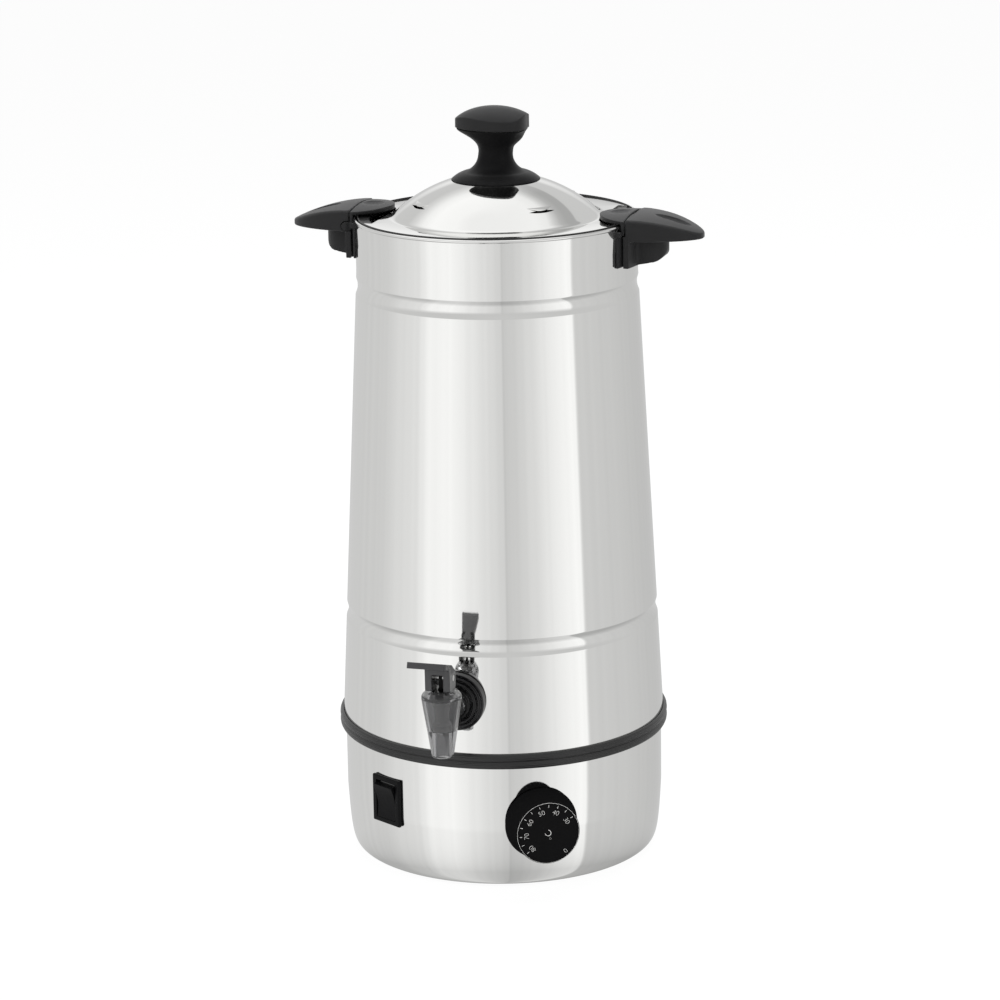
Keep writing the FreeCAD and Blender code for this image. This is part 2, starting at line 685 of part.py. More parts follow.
def make_switch():
    front = -(PLINTH_R + BEZEL_PROUD)
    back = -(PLINTH_R - 0.4)
    half_w, half_t = BEZEL_WIDE / 2, BEZEL_TALL / 2
    bezel = block((-half_w, half_w), (front, back), (SWITCH_Z - half_t, SWITCH_Z + half_t))
    edges = [e for e in bezel.Edges if abs(e.BoundBox.YMin - front) < 0.01 or e.BoundBox.YLength > 1]
    bezel = bezel.makeFillet(0.9, edges)
    bezel = bezel.cut(plinth_body(0, PLINTH_TOP))
    half_bw, half_bt = SWITCH_BODY_WIDE / 2, SWITCH_BODY_TALL / 2
    body = block((-half_bw, half_bw), (front + 1, front + SWITCH_BODY_DEEP),
                 (SWITCH_Z - half_bt, SWITCH_Z + half_bt))
    half_pw, half_pt = POCKET_WIDE / 2, POCKET_TALL / 2
    pocket = block((-half_pw, half_pw), (front - 1, front + POCKET_DEEP),
                   (SWITCH_Z - half_pt, SWITCH_Z + half_pt))
    pin_hole = rod(ROCKER_PIN_R + RUN_PLAY, (-half_pw - ROCKER_PIN_IN - 0.2, ROCKER_Y, SWITCH_Z),
                   (half_pw + ROCKER_PIN_IN + 0.2, ROCKER_Y, SWITCH_Z))
    frame = bezel.fuse(body).cut(pocket).cut(pin_hole)
    for x in (-5.0, 5.0):
        blade = block((x - 3, x + 3), (front + SWITCH_BODY_DEEP - 0.5, front + SWITCH_BODY_DEEP + 7),
                      (SWITCH_Z - 0.4, SWITCH_Z + 0.4))
        frame = frame.fuse(blade)
    PARTS["switch_frame"] = turned(frame.removeSplitter(), SWITCH_AZIMUTH)
    make_rocker(front)


def make_rocker(front):
    """The rocker is drawn level, then tilted to its off position about its pin."""
    half_w = POCKET_WIDE / 2 - ROCKER_PLAY
    half_t = ROCKER_TALL / 2
    dip = 1.6
    side = outline(in_side, (front - dip, -half_t), ((front + 0.4, 0), (front - dip, half_t)),
                   (front + ROCKER_THICK - 2, half_t), (ROCKER_Y + 2.6, 4.0), (ROCKER_Y + 2.6, -4.0),
                   (front + ROCKER_THICK - 2, -half_t))
    rocker = prism(side, x=2 * half_w, base=(-half_w, 0, SWITCH_Z))
    reach = POCKET_WIDE / 2 + ROCKER_PIN_IN
    rocker = rocker.fuse(rod(ROCKER_PIN_R, (-reach, ROCKER_Y, SWITCH_Z), (reach, ROCKER_Y, SWITCH_Z)))
    rocker = rocker.removeSplitter()
    rocker.rotate(V(0, ROCKER_Y, SWITCH_Z), V(1, 0, 0), ROCKER_TILT)
    PARTS["switch_rocker"] = turned(rocker, SWITCH_AZIMUTH)


# Cable entry and terminals

def make_cable_entry():
    flange = rod(GLAND_R, (0, PLINTH_R - 2, GLAND_Z), (0, PLINTH_R + GLAND_PROUD, GLAND_Z))
    edges = [e for e in flange.Edges if e.BoundBox.YMin > PLINTH_R + GLAND_PROUD - 0.01]
    flange = flange.makeFillet(1.6, edges).cut(plinth_body(0, PLINTH_TOP))
    neck = rod(GLAND_NECK_R, (0, PLINTH_R - GLAND_IN, GLAND_Z), (0, PLINTH_R + 1, GLAND_Z))
    bore = rod(GLAND_BORE_R, (0, PLINTH_R / 2, GLAND_Z), (0, 2 * PLINTH_R, GLAND_Z))
    PARTS["cable_gland"] = flange.fuse(neck).cut(bore).removeSplitter()
    nut = hexagon(GLAND_NUT_ACROSS, 0, GLAND_NUT_THICK, GLAND_NECK_R)
    sag = PLINTH_R - math.sqrt(PLINTH_R ** 2 - GLAND_NUT_ACROSS ** 2 / 3)
    PARTS["gland_nut"] = lying(nut, PLINTH_R - PLINTH_WALL - sag, GLAND_Z)
    low = PLINTH_RISE + PLINTH_WALL + BASE_THICK
    terminals = block((-BLOCK_WIDE / 2, BLOCK_WIDE / 2), (BLOCK_AT_Y, BLOCK_AT_Y + BLOCK_DEEP),
                      (low, low + BLOCK_TALL))
    for i in range(3):
        x = (i - 1) * BLOCK_WIDE / 3
        terminals = terminals.cut(disc(2.2, low + BLOCK_TALL - 5, low + BLOCK_TALL + 1,
                                       x, BLOCK_AT_Y + BLOCK_DEEP / 2))
    PARTS["terminal_block"] = terminals


# Lid

def make_lid():
    inner_r = DOME_R - LID_SHEET
    foot_r = DOME_FOOT_R + DOME_FILLET

    def on_dome(radius, r):
        return (r, DOME_CENTRE_Z + math.sqrt(radius ** 2 - r ** 2))

    hole_r = KNOB_SCREW_R + HOLE_PLAY
    rise_r = DOME_FOOT_R - DOME_FILLET
    bend = (DOME_FOOT_R + 0.1, FLANGE_TOP + 0.45)
    bend_in = (DOME_FOOT_R - 0.5, FLANGE_LOW + 0.5)
    section = outline(
        in_section, (LID_R, FLANGE_LOW), (LID_R, FLANGE_TOP), (foot_r, FLANGE_TOP),
        (bend, on_dome(DOME_R, rise_r)), (on_dome(DOME_R, DOME_R * 0.4), on_dome(DOME_R, hole_r)),
        on_dome(inner_r, hole_r), (on_dome(inner_r, DOME_R * 0.4), on_dome(inner_r, rise_r - 0.4)),
        (bend_in, (foot_r - 0.6, FLANGE_LOW)))
    lid = spin(section)
    inner_x = NOSE_REACH - NOTCH_PLAY
    notch_low, notch_high = FLANGE_LOW - 1, FLANGE_TOP + 1
    notch = block((inner_x, 2 * LID_R), (0, NOTCH_LONG_END), (notch_low, notch_high))
    notch = notch.fuse(handle_plan(notch_low, notch_high, NOTCH_PLAY))
    lid = lid.cut(notch).cut(turned(notch, 180))
    slit_z = on_dome(DOME_R, SLIT_AT_R)[1]
    slit = block((-SLIT_LONG / 2, SLIT_LONG / 2), (-SLIT_AT_R - 8, -SLIT_AT_R + 8),
                 (slit_z - SLIT_WIDE / 2, slit_z + SLIT_WIDE / 2))
    for azimuth in SLIT_AZIMUTHS:
        lid = lid.cut(turned(slit, azimuth))
    PARTS["lid_shell"] = lid
    seal_top = FLANGE_LOW - SEAL_PLAY
    seal = ring(SEAL_R, SEAL_BORE_R, SEAL_LIP_TOP + SEAL_PLAY, seal_top)
    edge = ring(SEAL_R, SEAL_R - SEAL_EDGE_THICK, seal_top - 1, RIM_TOP + SEAL_EDGE_RISE)
    PARTS["lid_seal"] = seal.fuse(edge).removeSplitter()


# Lid knob

def knob_outline(scale, z):
    """Plan of the knob's cap: narrow at -X, blunt at +X."""
    left, right, half = KNOB_LEFT * scale, KNOB_RIGHT * scale, KNOB_HALF_DEPTH * scale
    upper = [(right, 0.28 * half), (0.86 * right, 0.70 * half), (0.50 * right, 0.94 * half), (0, half),
             (-0.42 * left, 0.84 * half), (-0.78 * left, 0.50 * half), (-0.96 * left, 0.18 * half)]
    lower = [(x, -y) for x, y in reversed(upper)]
    return smooth_loop(upper + lower, z)


def knob_flare_outline(half_long, half_deep, z):
    """Oval with as many points as the cap's outline, for the flare between neck and cap."""
    count = 14
    oval_loop = []
    for i in range(count):
        angle = 2 * math.pi * (i + 0.5) / count
        oval_loop.append((KNOB_OFF_CENTRE + half_long * math.cos(angle), half_deep * math.sin(angle)))
    return smooth_loop(oval_loop, z)


def make_knob():
    skirt_z = DOME_CENTRE_Z + math.sqrt(DOME_R ** 2 - KNOB_SKIRT_R ** 2)
    neck_z = DOME_TOP + KNOB_NECK_RISE
    part_z = DOME_TOP + KNOB_PART_RISE
    top_z = DOME_TOP + KNOB_TOP_RISE
    # the skirt rests on the dome with its sharp edge and a flat ring near the hole
    rim_z, waist_z = skirt_z + KNOB_SKIRT_EDGE, skirt_z + KNOB_WAIST_RISE
    shoulder = (KNOB_SHOULDER_R, skirt_z + KNOB_SHOULDER_RISE)
    over_rim = bowed((KNOB_SKIRT_R, rim_z), shoulder, KNOB_SKIRT_BOW)
    under_neck = bowed(shoulder, (KNOB_NECK_R, waist_z), -KNOB_NECK_BOW)
    skirt = spin(outline(
        in_section, (0, DOME_TOP - 6), (KNOB_SKIRT_R, skirt_z - 0.4), (KNOB_SKIRT_R, rim_z),
        (over_rim, shoulder), (under_neck, (KNOB_NECK_R, waist_z)), (KNOB_NECK_R, neck_z), (0, neck_z)))
    skirt = skirt.cut(Part.makeSphere(DOME_R, V(0, 0, DOME_CENTRE_Z)))
    flare_tall = part_z - KNOB_SEAM - neck_z
    loops = [knob_flare_outline(KNOB_NECK_R, KNOB_NECK_R, neck_z),
             knob_flare_outline(1.12 * KNOB_NECK_R, 1.08 * KNOB_NECK_R, neck_z + 0.33 * flare_tall),
             knob_flare_outline(1.49 * KNOB_NECK_R, 1.24 * KNOB_NECK_R, neck_z + 0.60 * flare_tall),
             knob_outline(0.90, neck_z + 0.87 * flare_tall),
             knob_outline(0.975, neck_z + flare_tall)]
    flare = Part.makeLoft(loops, True, False)
    stub = disc(KNOB_NECK_R - 1, neck_z - 2, neck_z + 2)
    base = skirt.fuse(stub).fuse(flare)
    screw_top = DOME_TOP + KNOB_SCREW_LONG
    base = base.cut(disc(KNOB_SCREW_R, DOME_TOP - 8, screw_top))
    PARTS["lid_knob_base"] = base.removeSplitter()
    cap = prism(knob_outline(1.0, part_z), z=top_z + 2 - part_z)
    tall = top_z - part_z + KNOB_CROWN_DEEP
    crown = Part.makeSphere(1.0)
    stretch = FreeCAD.Matrix()
    stretch.scale(KNOB_CROWN_LONG, KNOB_CROWN_WIDE, tall)
    crown = crown.transformGeometry(stretch)
    crown.translate(V(0, 0, top_z - tall))
    cap = cap.common(crown)
    seam = prism(knob_outline(0.93, part_z - KNOB_SEAM), z=KNOB_SEAM + 1)
    PARTS["lid_knob_cap"] = cap.fuse(seam).removeSplitter()
    washer_top = DOME_CENTRE_Z + math.sqrt((DOME_R - LID_SHEET) ** 2 - KNOB_WASHER_R ** 2)
    washer_low = washer_top - KNOB_WASHER_THICK
    PARTS["lid_knob_washer"] = disc(KNOB_WASHER_R, washer_low, washer_top).cut(
        disc(KNOB_SCREW_R + 0.1, washer_low - 1, washer_top + 1))
    head_low = washer_low - KNOB_HEAD_TALL
    head = disc(KNOB_HEAD_R, head_low, washer_low)
    PARTS["lid_knob_screw"] = head.fuse(disc(KNOB_SCREW_R, head_low + 1, screw_top)).removeSplitter()


# Handles

def handle_half_width(x):
    share = (x - HANDLE_MID_X) / (HANDLE_TIP_X - HANDLE_MID_X)
    return HANDLE_HALF * math.sqrt(max(1 - share ** 2, 0))


def grip_ridge(x):
    share = (x - SEAM_X) / (HANDLE_TIP_X - SEAM_X)
    return RIM_TOP + GRIP_RIDGE_RISE - GRIP_DROP * share ** 2


def grip_section(x):
    """Cross-section of the grip with rounded edges and a crowned top."""
    half = handle_half_width(x)
    top = grip_ridge(x)
    low = RIM_TOP - GRIP_UNDER_DROP
    round_top = min(3.0, half * 0.45, (top - low) * 0.4)
    round_low = round_top / 2
    bulge = 0.3
    inner = half - round_top
    crown = top + GRIP_CROWN * half / HANDLE_HALF

    def place(y, z):
        return V(x, y, z)

    return outline(
        place, (-(half - round_low), low), (half - round_low, low),
        ((half - bulge * round_low, low + bulge * round_low), (half, low + round_low)),
        (half, top - round_top),
        ((half - bulge * round_top, top - bulge * round_top), (inner, top)),
        ((0, crown), (-inner, top)),
        ((-(half - bulge * round_top), top - bulge * round_top), (-half, top - round_top)),
        (-half, low + round_low),
        ((-(half - bulge * round_low), low + bulge * round_low), (-(half - round_low), low)))


def handle_plan(low, high, play=0.0):
    """Everything under the handle's outline, from the nose's end to the grip's tip."""
    mid_x = (NOSE_REACH + SEAM_X) / 2 - 1.5
    nose_end = NOSE_REACH - play
    half_end = NOSE_HALF_END + play
    nose_half = NOSE_HALF_MID + play
    at_seam = handle_half_width(SEAM_X) + play
    shape = outline(
        in_plan, (nose_end + 1.5, -half_end), ((nose_end, 0), (nose_end + 1.5, half_end)),
        ((mid_x, nose_half), (SEAM_X, at_seam)), ((HANDLE_TIP_X, 0), (SEAM_X, -at_seam)),
        ((mid_x, -nose_half), (nose_end + 1.5, -half_end)))
    return prism(shape, z=high - low, base=(0, 0, low))


def oval(x, z, long, wide, tall):
    shape = Part.makeSphere(1.0)
    stretch = FreeCAD.Matrix()
    stretch.scale(long, wide, tall)
    shape = shape.transformGeometry(stretch)
    shape.translate(V(x, 0, z))
    return shape


def make_nose():
    low = RIM_TOP + NOSE_LIFT
    edge_top = low + NOSE_SIDE_TALL
    crown_top = edge_top + NOSE_CROWN
    x_high = SEAM_X - SEAM_GAP / 2
    wide = 2 * HANDLE_HALF
    inward = block((0, x_high), (-wide, wide), (low, crown_top + 1))
    nose = handle_plan(low, crown_top + 1).common(inward)
    crown_z = low - CROWN_DEEP
    nose = nose.common(oval(SEAM_X - 2, crown_z, CROWN_LONG, CROWN_WIDE, crown_top - crown_z))
    nose = nose.cut(oval(NECK_R - DISH_IN, crown_top + DISH_LIFT, DISH_LONG, DISH_WIDE, DISH_TALL))
    shank_low = RIM_TOP - SHANK_DROP
    bead_clear = NECK_R + BEAD_R + BEAD_PLAY
    at_seam = handle_half_width(SEAM_X)
    shank = block((NECK_R / 2, x_high), (-at_seam, at_seam), (shank_low, low + 1))
    nose = nose.fuse(shank.cut(disc(bead_clear, shank_low - 1, low + 2)))
    pad_clear = disc(NECK_R + PAD_THICK + 0.1, 0, shank_low - SEAM_GAP / 2)
    return nose.fuse(tongue_shape(0.0).cut(pad_clear)).removeSplitter()


def tongue_shape(play):
    """Round-ended tongue on one side of the nose, which snaps into the grip."""
    low = RIM_TOP - TONGUE_DROP - TONGUE_TALL - play
    high = RIM_TOP - TONGUE_DROP + play
    mid = (low + high) / 2
    radius = (high - low) / 2
    end = TONGUE_END_X - radius + play

    def place(x, z):
        return V(x, 0, z)

    shape = outline(place, (SEAM_X - 1.2, low), (end, low), ((end + radius, mid), (end, high)),
                    (SEAM_X - 1.2, high))
    y_low = HANDLE_HALF - TONGUE_THICK - play
    tongue = prism(shape, y=TONGUE_THICK + 1 + play, base=(0, y_low, 0))
    return tongue if play else tongue.common(handle_plan(low - 1, high + 1))


def make_grip():
    length = HANDLE_TIP_X - SEAM_X
    stations = [SEAM_X + SEAM_GAP / 2]
    stations += [SEAM_X + share * length for share in GRIP_SHARES]
    stations += [HANDLE_TIP_X - GRIP_END_GAP]
    grip = Part.makeLoft([grip_section(x) for x in stations], True, False)
    under = RIM_TOP - GRIP_UNDER_DROP
    leg_in = NECK_R + PAD_THICK
    leg_out = leg_in + LEG_THICK
    leg_low = RIM_TOP - LEG_LOW_DROP
    leg_top = RIM_TOP - SHANK_DROP - SEAM_GAP
    leg = block((NECK_R / 2, 2 * NECK_R), (-LEG_HALF, LEG_HALF), (leg_low, leg_top))
    leg = leg.common(ring(leg_out, leg_in, leg_low, leg_top))
    for side in (1, -1):
        ends = (side * RELIEF_FROM, side * 2 * LEG_HALF)
        relief = block((0, 2 * NECK_R), (min(ends), max(ends)), (leg_low - 1, leg_top + 1))
        leg = leg.cut(relief.common(disc(leg_in + RELIEF_DEEP, leg_low - 2, leg_top + 2)))
    grip = grip.fuse(leg).fuse(guard_box(leg_out, under))
    bead_clear = NECK_R + BEAD_R + BEAD_PLAY
    grip = grip.cut(disc(bead_clear, leg_top, RIM_TOP + 10)).cut(disc(leg_in, under - 1, leg_top))
    grip = grip.cut(tongue_shape(TONGUE_PLAY))
    leaf_x = NECK_R + LEAF_OUT
    slope = grip_ridge(leaf_x - 0.5) - grip_ridge(leaf_x + 0.5)
    leaf = oval(0, 0, LEAF_LONG, LEAF_WIDE, LEAF_DEEP)
    leaf.rotate(V(0, 0, 0), V(0, 1, 0), math.degrees(math.atan(slope)))
    crown = GRIP_CROWN * handle_half_width(leaf_x) / HANDLE_HALF
    leaf.translate(V(leaf_x, 0, grip_ridge(leaf_x) + crown + LEAF_LIFT))
    grip = grip.cut(leaf)
    z = RIM_TOP - HANDLE_SCREW_DROP
    for y in (-HANDLE_SCREW_SPREAD, HANDLE_SCREW_SPREAD):
        grip = grip.cut(rod(INSERT_R, (NECK_R / 2, y, z), (leg_out + INSERT_LONG, y, z)))
    return grip.removeSplitter()


def guard_box(leg_out, under):
    """Box under the grip that keeps the fingers off the hot wall, blended into the leg."""
    low = RIM_TOP - GUARD_LOW_DROP
    leg_low = RIM_TOP - LEG_LOW_DROP
    start = NECK_R + PAD_THICK + 1
    bend_x = GUARD_END_X - GUARD_HALF
    plan = outline(in_plan, (start, -GUARD_HALF), (bend_x, -GUARD_HALF),
                   ((GUARD_END_X, 0), (bend_x, GUARD_HALF)), (start, GUARD_HALF))
    guard = prism(plan, z=under + 2 - leg_low, base=(0, 0, leg_low))
    corner = GUARD_CORNER
    middle = corner * (1 - math.sqrt(0.5))

    def place(x, z):
        return V(x, 0, z)

    side = outline(place, (start, leg_low), (GUARD_END_X - corner, low),
                   ((GUARD_END_X - middle, low + middle), (GUARD_END_X, low + corner)),
                   (GUARD_END_X, under + 2), (start, under + 2))
    guard = guard.common(prism(side, y=4 * GUARD_HALF, base=(0, -2 * GUARD_HALF, 0)))
    leg_x = math.sqrt(leg_out ** 2 - (GUARD_HALF + GUARD_FILLET) ** 2)
    for side in (1, -1):
        y_in, y_out = side * (GUARD_HALF - 1), side * (GUARD_HALF + GUARD_FILLET)
        blend = block((leg_x - 2, leg_x + GUARD_FILLET), (min(y_in, y_out), max(y_in, y_out)),
                      (low, under + 2))
        blend = blend.cut(disc(GUARD_FILLET, low - 1, under + 3, leg_x + GUARD_FILLET, y_out))
        guard = guard.fuse(blend)
    bore = NECK_R + PAD_THICK
    return guard.cut(disc(bore, leg_low - 1, under + 3))


def make_pad():
    low, high = RIM_TOP - PAD_LOW_DROP, RIM_TOP - SHANK_DROP - SEAM_GAP
    pad = ring(NECK_R + PAD_THICK, NECK_R, low, high)
    pad = pad.common(block((NECK_R / 2, 2 * NECK_R), (-PAD_HALF, PAD_HALF), (low, high)))
    high = RIM_TOP - PAD_TOP_DROP
    hook_low = high - PAD_HOOK_TALL - 1
    hook = ring(NECK_R + PAD_HOOK_PROUD, NECK_R, hook_low, high)
    for side in (1, -1):
        ends = (side * (LEG_HALF + 1.5), side * (PAD_HALF + 1.5))
        pad = pad.fuse(hook.common(block((NECK_R / 2, 2 * NECK_R), (min(ends), max(ends)), (hook_low, high))))
    z = RIM_TOP - HANDLE_SCREW_DROP
    for y in (-HANDLE_SCREW_SPREAD, HANDLE_SCREW_SPREAD):
        pad = pad.cut(rod(HANDLE_SCREW_R + HOLE_PLAY, (NECK_R / 2, y, z), (2 * NECK_R, y, z)))
    return pad.removeSplitter()


def make_handles():
    for side, angle in (("right", 0), ("left", 180)):
        PARTS["handle_grip_" + side] = turned(make_grip(), angle)
        PARTS["handle_nose_" + side] = turned(make_nose(), angle)
        PARTS["handle_pad_" + side] = turned(make_pad(), angle)
    screws, inserts = [], []
    leg_out = NECK_R + PAD_THICK + LEG_THICK
    for side, y, z in handle_screw_lines():
        wall_x = math.sqrt((NECK_R - POT_WALL) ** 2 - (abs(y) + HANDLE_SCREW_R + 2) ** 2)
        head = rod(HANDLE_SCREW_R + 2, (side * (wall_x - 2.2), y, z), (side * wall_x, y, z))
        shank = rod(HANDLE_SCREW_R, (side * (wall_x - 1), y, z), (side * (wall_x + HANDLE_SCREW_LONG), y, z))
        screws.append(head.fuse(shank).removeSplitter())
        start = math.sqrt((NECK_R + PAD_THICK) ** 2 - (abs(y) - INSERT_R) ** 2) + 0.1
        insert = rod(INSERT_R, (side * start, y, z), (side * (leg_out + INSERT_LONG), y, z))
        inserts.append(insert.cut(rod(HANDLE_SCREW_R, (side * NECK_R / 2, y, z), (side * 2 * NECK_R, y, z))))
    PARTS["handle_screws"] = Part.Compound(screws)
    PARTS["handle_inserts"] = Part.Compound(inserts)


# Tap

def make_tap_shank():
    wall_y = -pot_r(TAP_Z)
    collar_back = wall_y + 6
    seat = wall_y - TAP_WASHER_THICK
    steps = ((TAP_COLLAR_R, 0.0, TAP_COLLAR_THICK),
             (TAP_COLLAR_R - 2.6, TAP_COLLAR_THICK, 1.5),
             (TAP_COLLAR_R - 5.6, TAP_COLLAR_THICK + 1.5, 1.5),
             (SPOUT_BRANCH_R + 1.6, TAP_COLLAR_THICK + 3.0, 2.2))
    collar = rod(TAP_COLLAR_R, (0, collar_back, TAP_Z), (0, seat, TAP_Z))
    for radius, start, thick in steps:
        collar = collar.fuse(rod(radius, (0, seat - start, TAP_Z), (0, seat - start - thick, TAP_Z)))
    collar = collar.cut(pot_body(-TAP_WASHER_THICK, POT_LOW, NECK_LOW))
    end = seat - sum(step[2] for step in steps)
    shank = rod(TAP_SHANK_R, (0, wall_y + TAP_SHANK_IN, TAP_Z), (0, end, TAP_Z))
    bore = rod(TAP_BORE_R, (0, 0, TAP_Z), (0, 2 * wall_y, TAP_Z))
    PARTS["tap_shank"] = collar.fuse(shank).cut(bore).removeSplitter()
    hole = rod(TAP_SHANK_R + 0.1, (0, 0, TAP_Z), (0, 2 * wall_y, TAP_Z))
    outer = rod(TAP_COLLAR_R - 1.2, (0, wall_y + 6, TAP_Z), (0, wall_y - 3, TAP_Z))
    outer = outer.common(pot_body(-TAP_WASHER_THICK, POT_LOW, NECK_LOW)).cut(pot_body(0, POT_LOW, NECK_LOW))
    PARTS["tap_outer_washer"] = outer.cut(hole)
    washer_y = wall_y + POT_WALL + 4.2
    inner = rod(TAP_SHANK_R + 5, (0, washer_y, TAP_Z), (0, wall_y - 3, TAP_Z))
    PARTS["tap_inner_washer"] = inner.common(pot_body(POT_WALL, POT_LOW, NECK_LOW)).cut(hole)
    nut = hexagon(TAP_NUT_ACROSS, 0, TAP_NUT_THICK, TAP_SHANK_R)
    PARTS["tap_nut"] = lying(nut, washer_y + TAP_NUT_THICK, TAP_Z)
    return end


def make_spout(shank_end):
    tip_z, top_z = TAP_Z - SPOUT_TIP_DROP, TAP_Z + SPOUT_TOP_RISE
    seat_z = TAP_Z - SEAT_DROP
    shoulder = SPOUT_SHOULDER_R
    bend_z = top_z - shoulder - 1
    half = shoulder * (1 - math.sqrt(0.5))
    slope = (SPOUT_TOP_R - SPOUT_TIP_R) / (bend_z - tip_z)
    outer = spin(outline(
        in_section, (0, tip_z), (SPOUT_TIP_R - 0.8, tip_z),
        ((SPOUT_TIP_R - 0.2, tip_z + 0.3), (SPOUT_TIP_R, tip_z + 1.0)), (SPOUT_TOP_R, bend_z),
        ((SPOUT_TOP_R - half, top_z - half - 0.5), (SPOUT_TOP_R - shoulder, top_z)), (0, top_z)))
    inner_low_r = SPOUT_TIP_R + slope * (seat_z - tip_z) - SPOUT_WALL
    chamber = spin(outline(
        in_section, (0, seat_z), (inner_low_r, seat_z), (SPOUT_TOP_R - SPOUT_WALL, bend_z - 1),
        (BONNET_R, top_z - 3), (BONNET_R, top_z + 1), (0, top_z + 1)))
    chamber = chamber.fuse(disc(OUTLET_R, tip_z - 1, seat_z + 1))
    for shape in (outer, chamber):
        shape.translate(V(0, SPOUT_Y, 0))
    branch = rod(SPOUT_BRANCH_R, (0, shank_end, TAP_Z), (0, SPOUT_Y, TAP_Z))
    bore = rod(TAP_BORE_R, (0, shank_end + 1, TAP_Z), (0, SPOUT_Y, TAP_Z))
    PARTS["tap_spout"] = outer.fuse(branch).cut(chamber).cut(bore).removeSplitter()
    bonnet_top = top_z + BONNET_PROUD
    bonnet = disc(BONNET_R, bonnet_top - BONNET_DEEP, bonnet_top, 0, SPOUT_Y)
    PARTS["tap_bonnet"] = bonnet.cut(disc(STEM_R + RUN_PLAY, 0, bonnet_top + 1, 0, SPOUT_Y))
    cup_low, cup_top = seat_z + RUN_PLAY, bonnet_top - BONNET_DEEP - RUN_PLAY
    cup = spin(outline(
        in_section, (0, cup_low), (CUP_R, cup_low), (CUP_R, cup_low + 4), (CUP_R - 1.6, cup_low + 6),
        ((CUP_R - 2.0, (cup_low + cup_top) / 2), (CUP_R - 0.6, cup_top - 3)), (CUP_FLANGE_R, cup_top - 1.8),
        (CUP_FLANGE_R, cup_top), (STEM_R, cup_top), (STEM_R, cup_low + 3), (0, cup_low + 3)))
    cup.translate(V(0, SPOUT_Y, 0))
    PARTS["seat_cup"] = cup
    pin_z = bonnet_top + PIN_RISE
    stem = disc(STEM_R, cup_low + 3, bonnet_top + 1, 0, SPOUT_Y)
    blade = block((-STEM_BLADE_HALF, STEM_BLADE_HALF), (SPOUT_Y - STEM_R, SPOUT_Y + STEM_R),
                  (bonnet_top + 0.3, pin_z + PIN_R + 1.2))
    stem = stem.fuse(blade).cut(rod(PIN_R, (-5, SPOUT_Y, pin_z), (5, SPOUT_Y, pin_z)))
    PARTS["tap_stem"] = stem.removeSplitter()
    PARTS["lever_pin"] = rod(PIN_R, (-PIN_HALF, SPOUT_Y, pin_z), (PIN_HALF, SPOUT_Y, pin_z))
    make_lever(pin_z)


def cam_point(angle):
    """Point of the foot that touches the bonnet when the lever has turned by angle.

    The foot's reach below the pin grows evenly with the angle, so the stem rises evenly too."""
    reach = PIN_RISE - CAM_PLAY + CAM_GAIN * angle
    return (SPOUT_Y - reach * math.sin(angle) - CAM_GAIN * math.cos(angle),
            -reach * math.cos(angle) + CAM_GAIN * math.sin(angle))


def make_lever(pin_z):
    swing = math.radians(LEVER_SWING + 3)
    curve = Part.BSplineCurve()
    curve.interpolate([in_side(*cam_point(swing * i / 6)) for i in range(7)])
    start, end = cam_point(0), cam_point(swing)
    tilt = math.tan(math.radians(LEVER_TILT))
    top = LEVER_OVER_PIN
    corners = [end, (end[0] - 0.4, top + (SPOUT_Y - end[0]) * tilt), (SPOUT_Y + CHEEK_BACK, top - 1.2),
               (SPOUT_Y + CHEEK_BACK, -PIN_RISE + CAM_PLAY + 2.0),
               (SPOUT_Y + CHEEK_BACK - 1.6, -PIN_RISE + CAM_PLAY), start]
    lines = [Part.LineSegment(in_side(*a), in_side(*b)).toShape() for a, b in zip(corners, corners[1:])]
    cheek = prism(Part.Wire([curve.toShape()] + lines), x=2 * CHEEK_OUT, base=(-CHEEK_OUT, 0, pin_z))
    half_gap = CHEEK_IN
    slot = block((-half_gap, half_gap), (SPOUT_Y - 30, SPOUT_Y + 30),
                 (pin_z - 2 * PIN_RISE, pin_z + PIN_R + 2.0))
    blade = lever_blade(pin_z)
    lever = cheek.cut(slot).fuse(blade)
    for side in (1, -1):
        lever = lever.cut(shoulder_cut(side, pin_z))
    lever = lever.cut(rod(PIN_R + RUN_PLAY, (-20, SPOUT_Y, pin_z), (20, SPOUT_Y, pin_z)))
    PARTS["tap_lever"] = lever.removeSplitter()


def lever_blade(pin_z):
    """Flat blade that widens from the hub to its outer end, made level and then tilted up."""
    plan = outline(
        in_plan, (-LEVER_NECK_HALF, CHEEK_BACK), (-LEVER_NECK_HALF, -7.0),
        (-LEVER_END_HALF, 1.5 - LEVER_REACH),
        ((0.45 - LEVER_END_HALF, 0.45 - LEVER_REACH), (1.5 - LEVER_END_HALF, -LEVER_REACH)),
        (LEVER_END_HALF - 1.5, -LEVER_REACH),
        ((LEVER_END_HALF - 0.45, 0.45 - LEVER_REACH), (LEVER_END_HALF, 1.5 - LEVER_REACH)),
        (LEVER_NECK_HALF, -7.0), (LEVER_NECK_HALF, CHEEK_BACK))
    blade = prism(plan, z=LEVER_THICK, base=(0, 0, -LEVER_THICK / 2))
    blade.rotate(V(0, 0, 0), V(1, 0, 0), -LEVER_TILT)
    blade.translate(V(0, SPOUT_Y, pin_z + LEVER_OVER_PIN))
    return blade


def shoulder_cut(side, pin_z):
    """Wedge that slopes the hub's upper side down to the cheek."""
    top = pin_z + LEVER_OVER_PIN + LEVER_THICK

    def place(x, z):
        return V(side * x, 0, z)

    wedge = outline(place, (CHEEK_OUT - CHEEK_SHOULDER - 1, top), (CHEEK_OUT + 1, top),
                    (CHEEK_OUT + 1, top - CHEEK_SHOULDER - 3.4))
    return prism(wedge, y=CHEEK_BACK + 8, base=(0, SPOUT_Y - 7, 0))


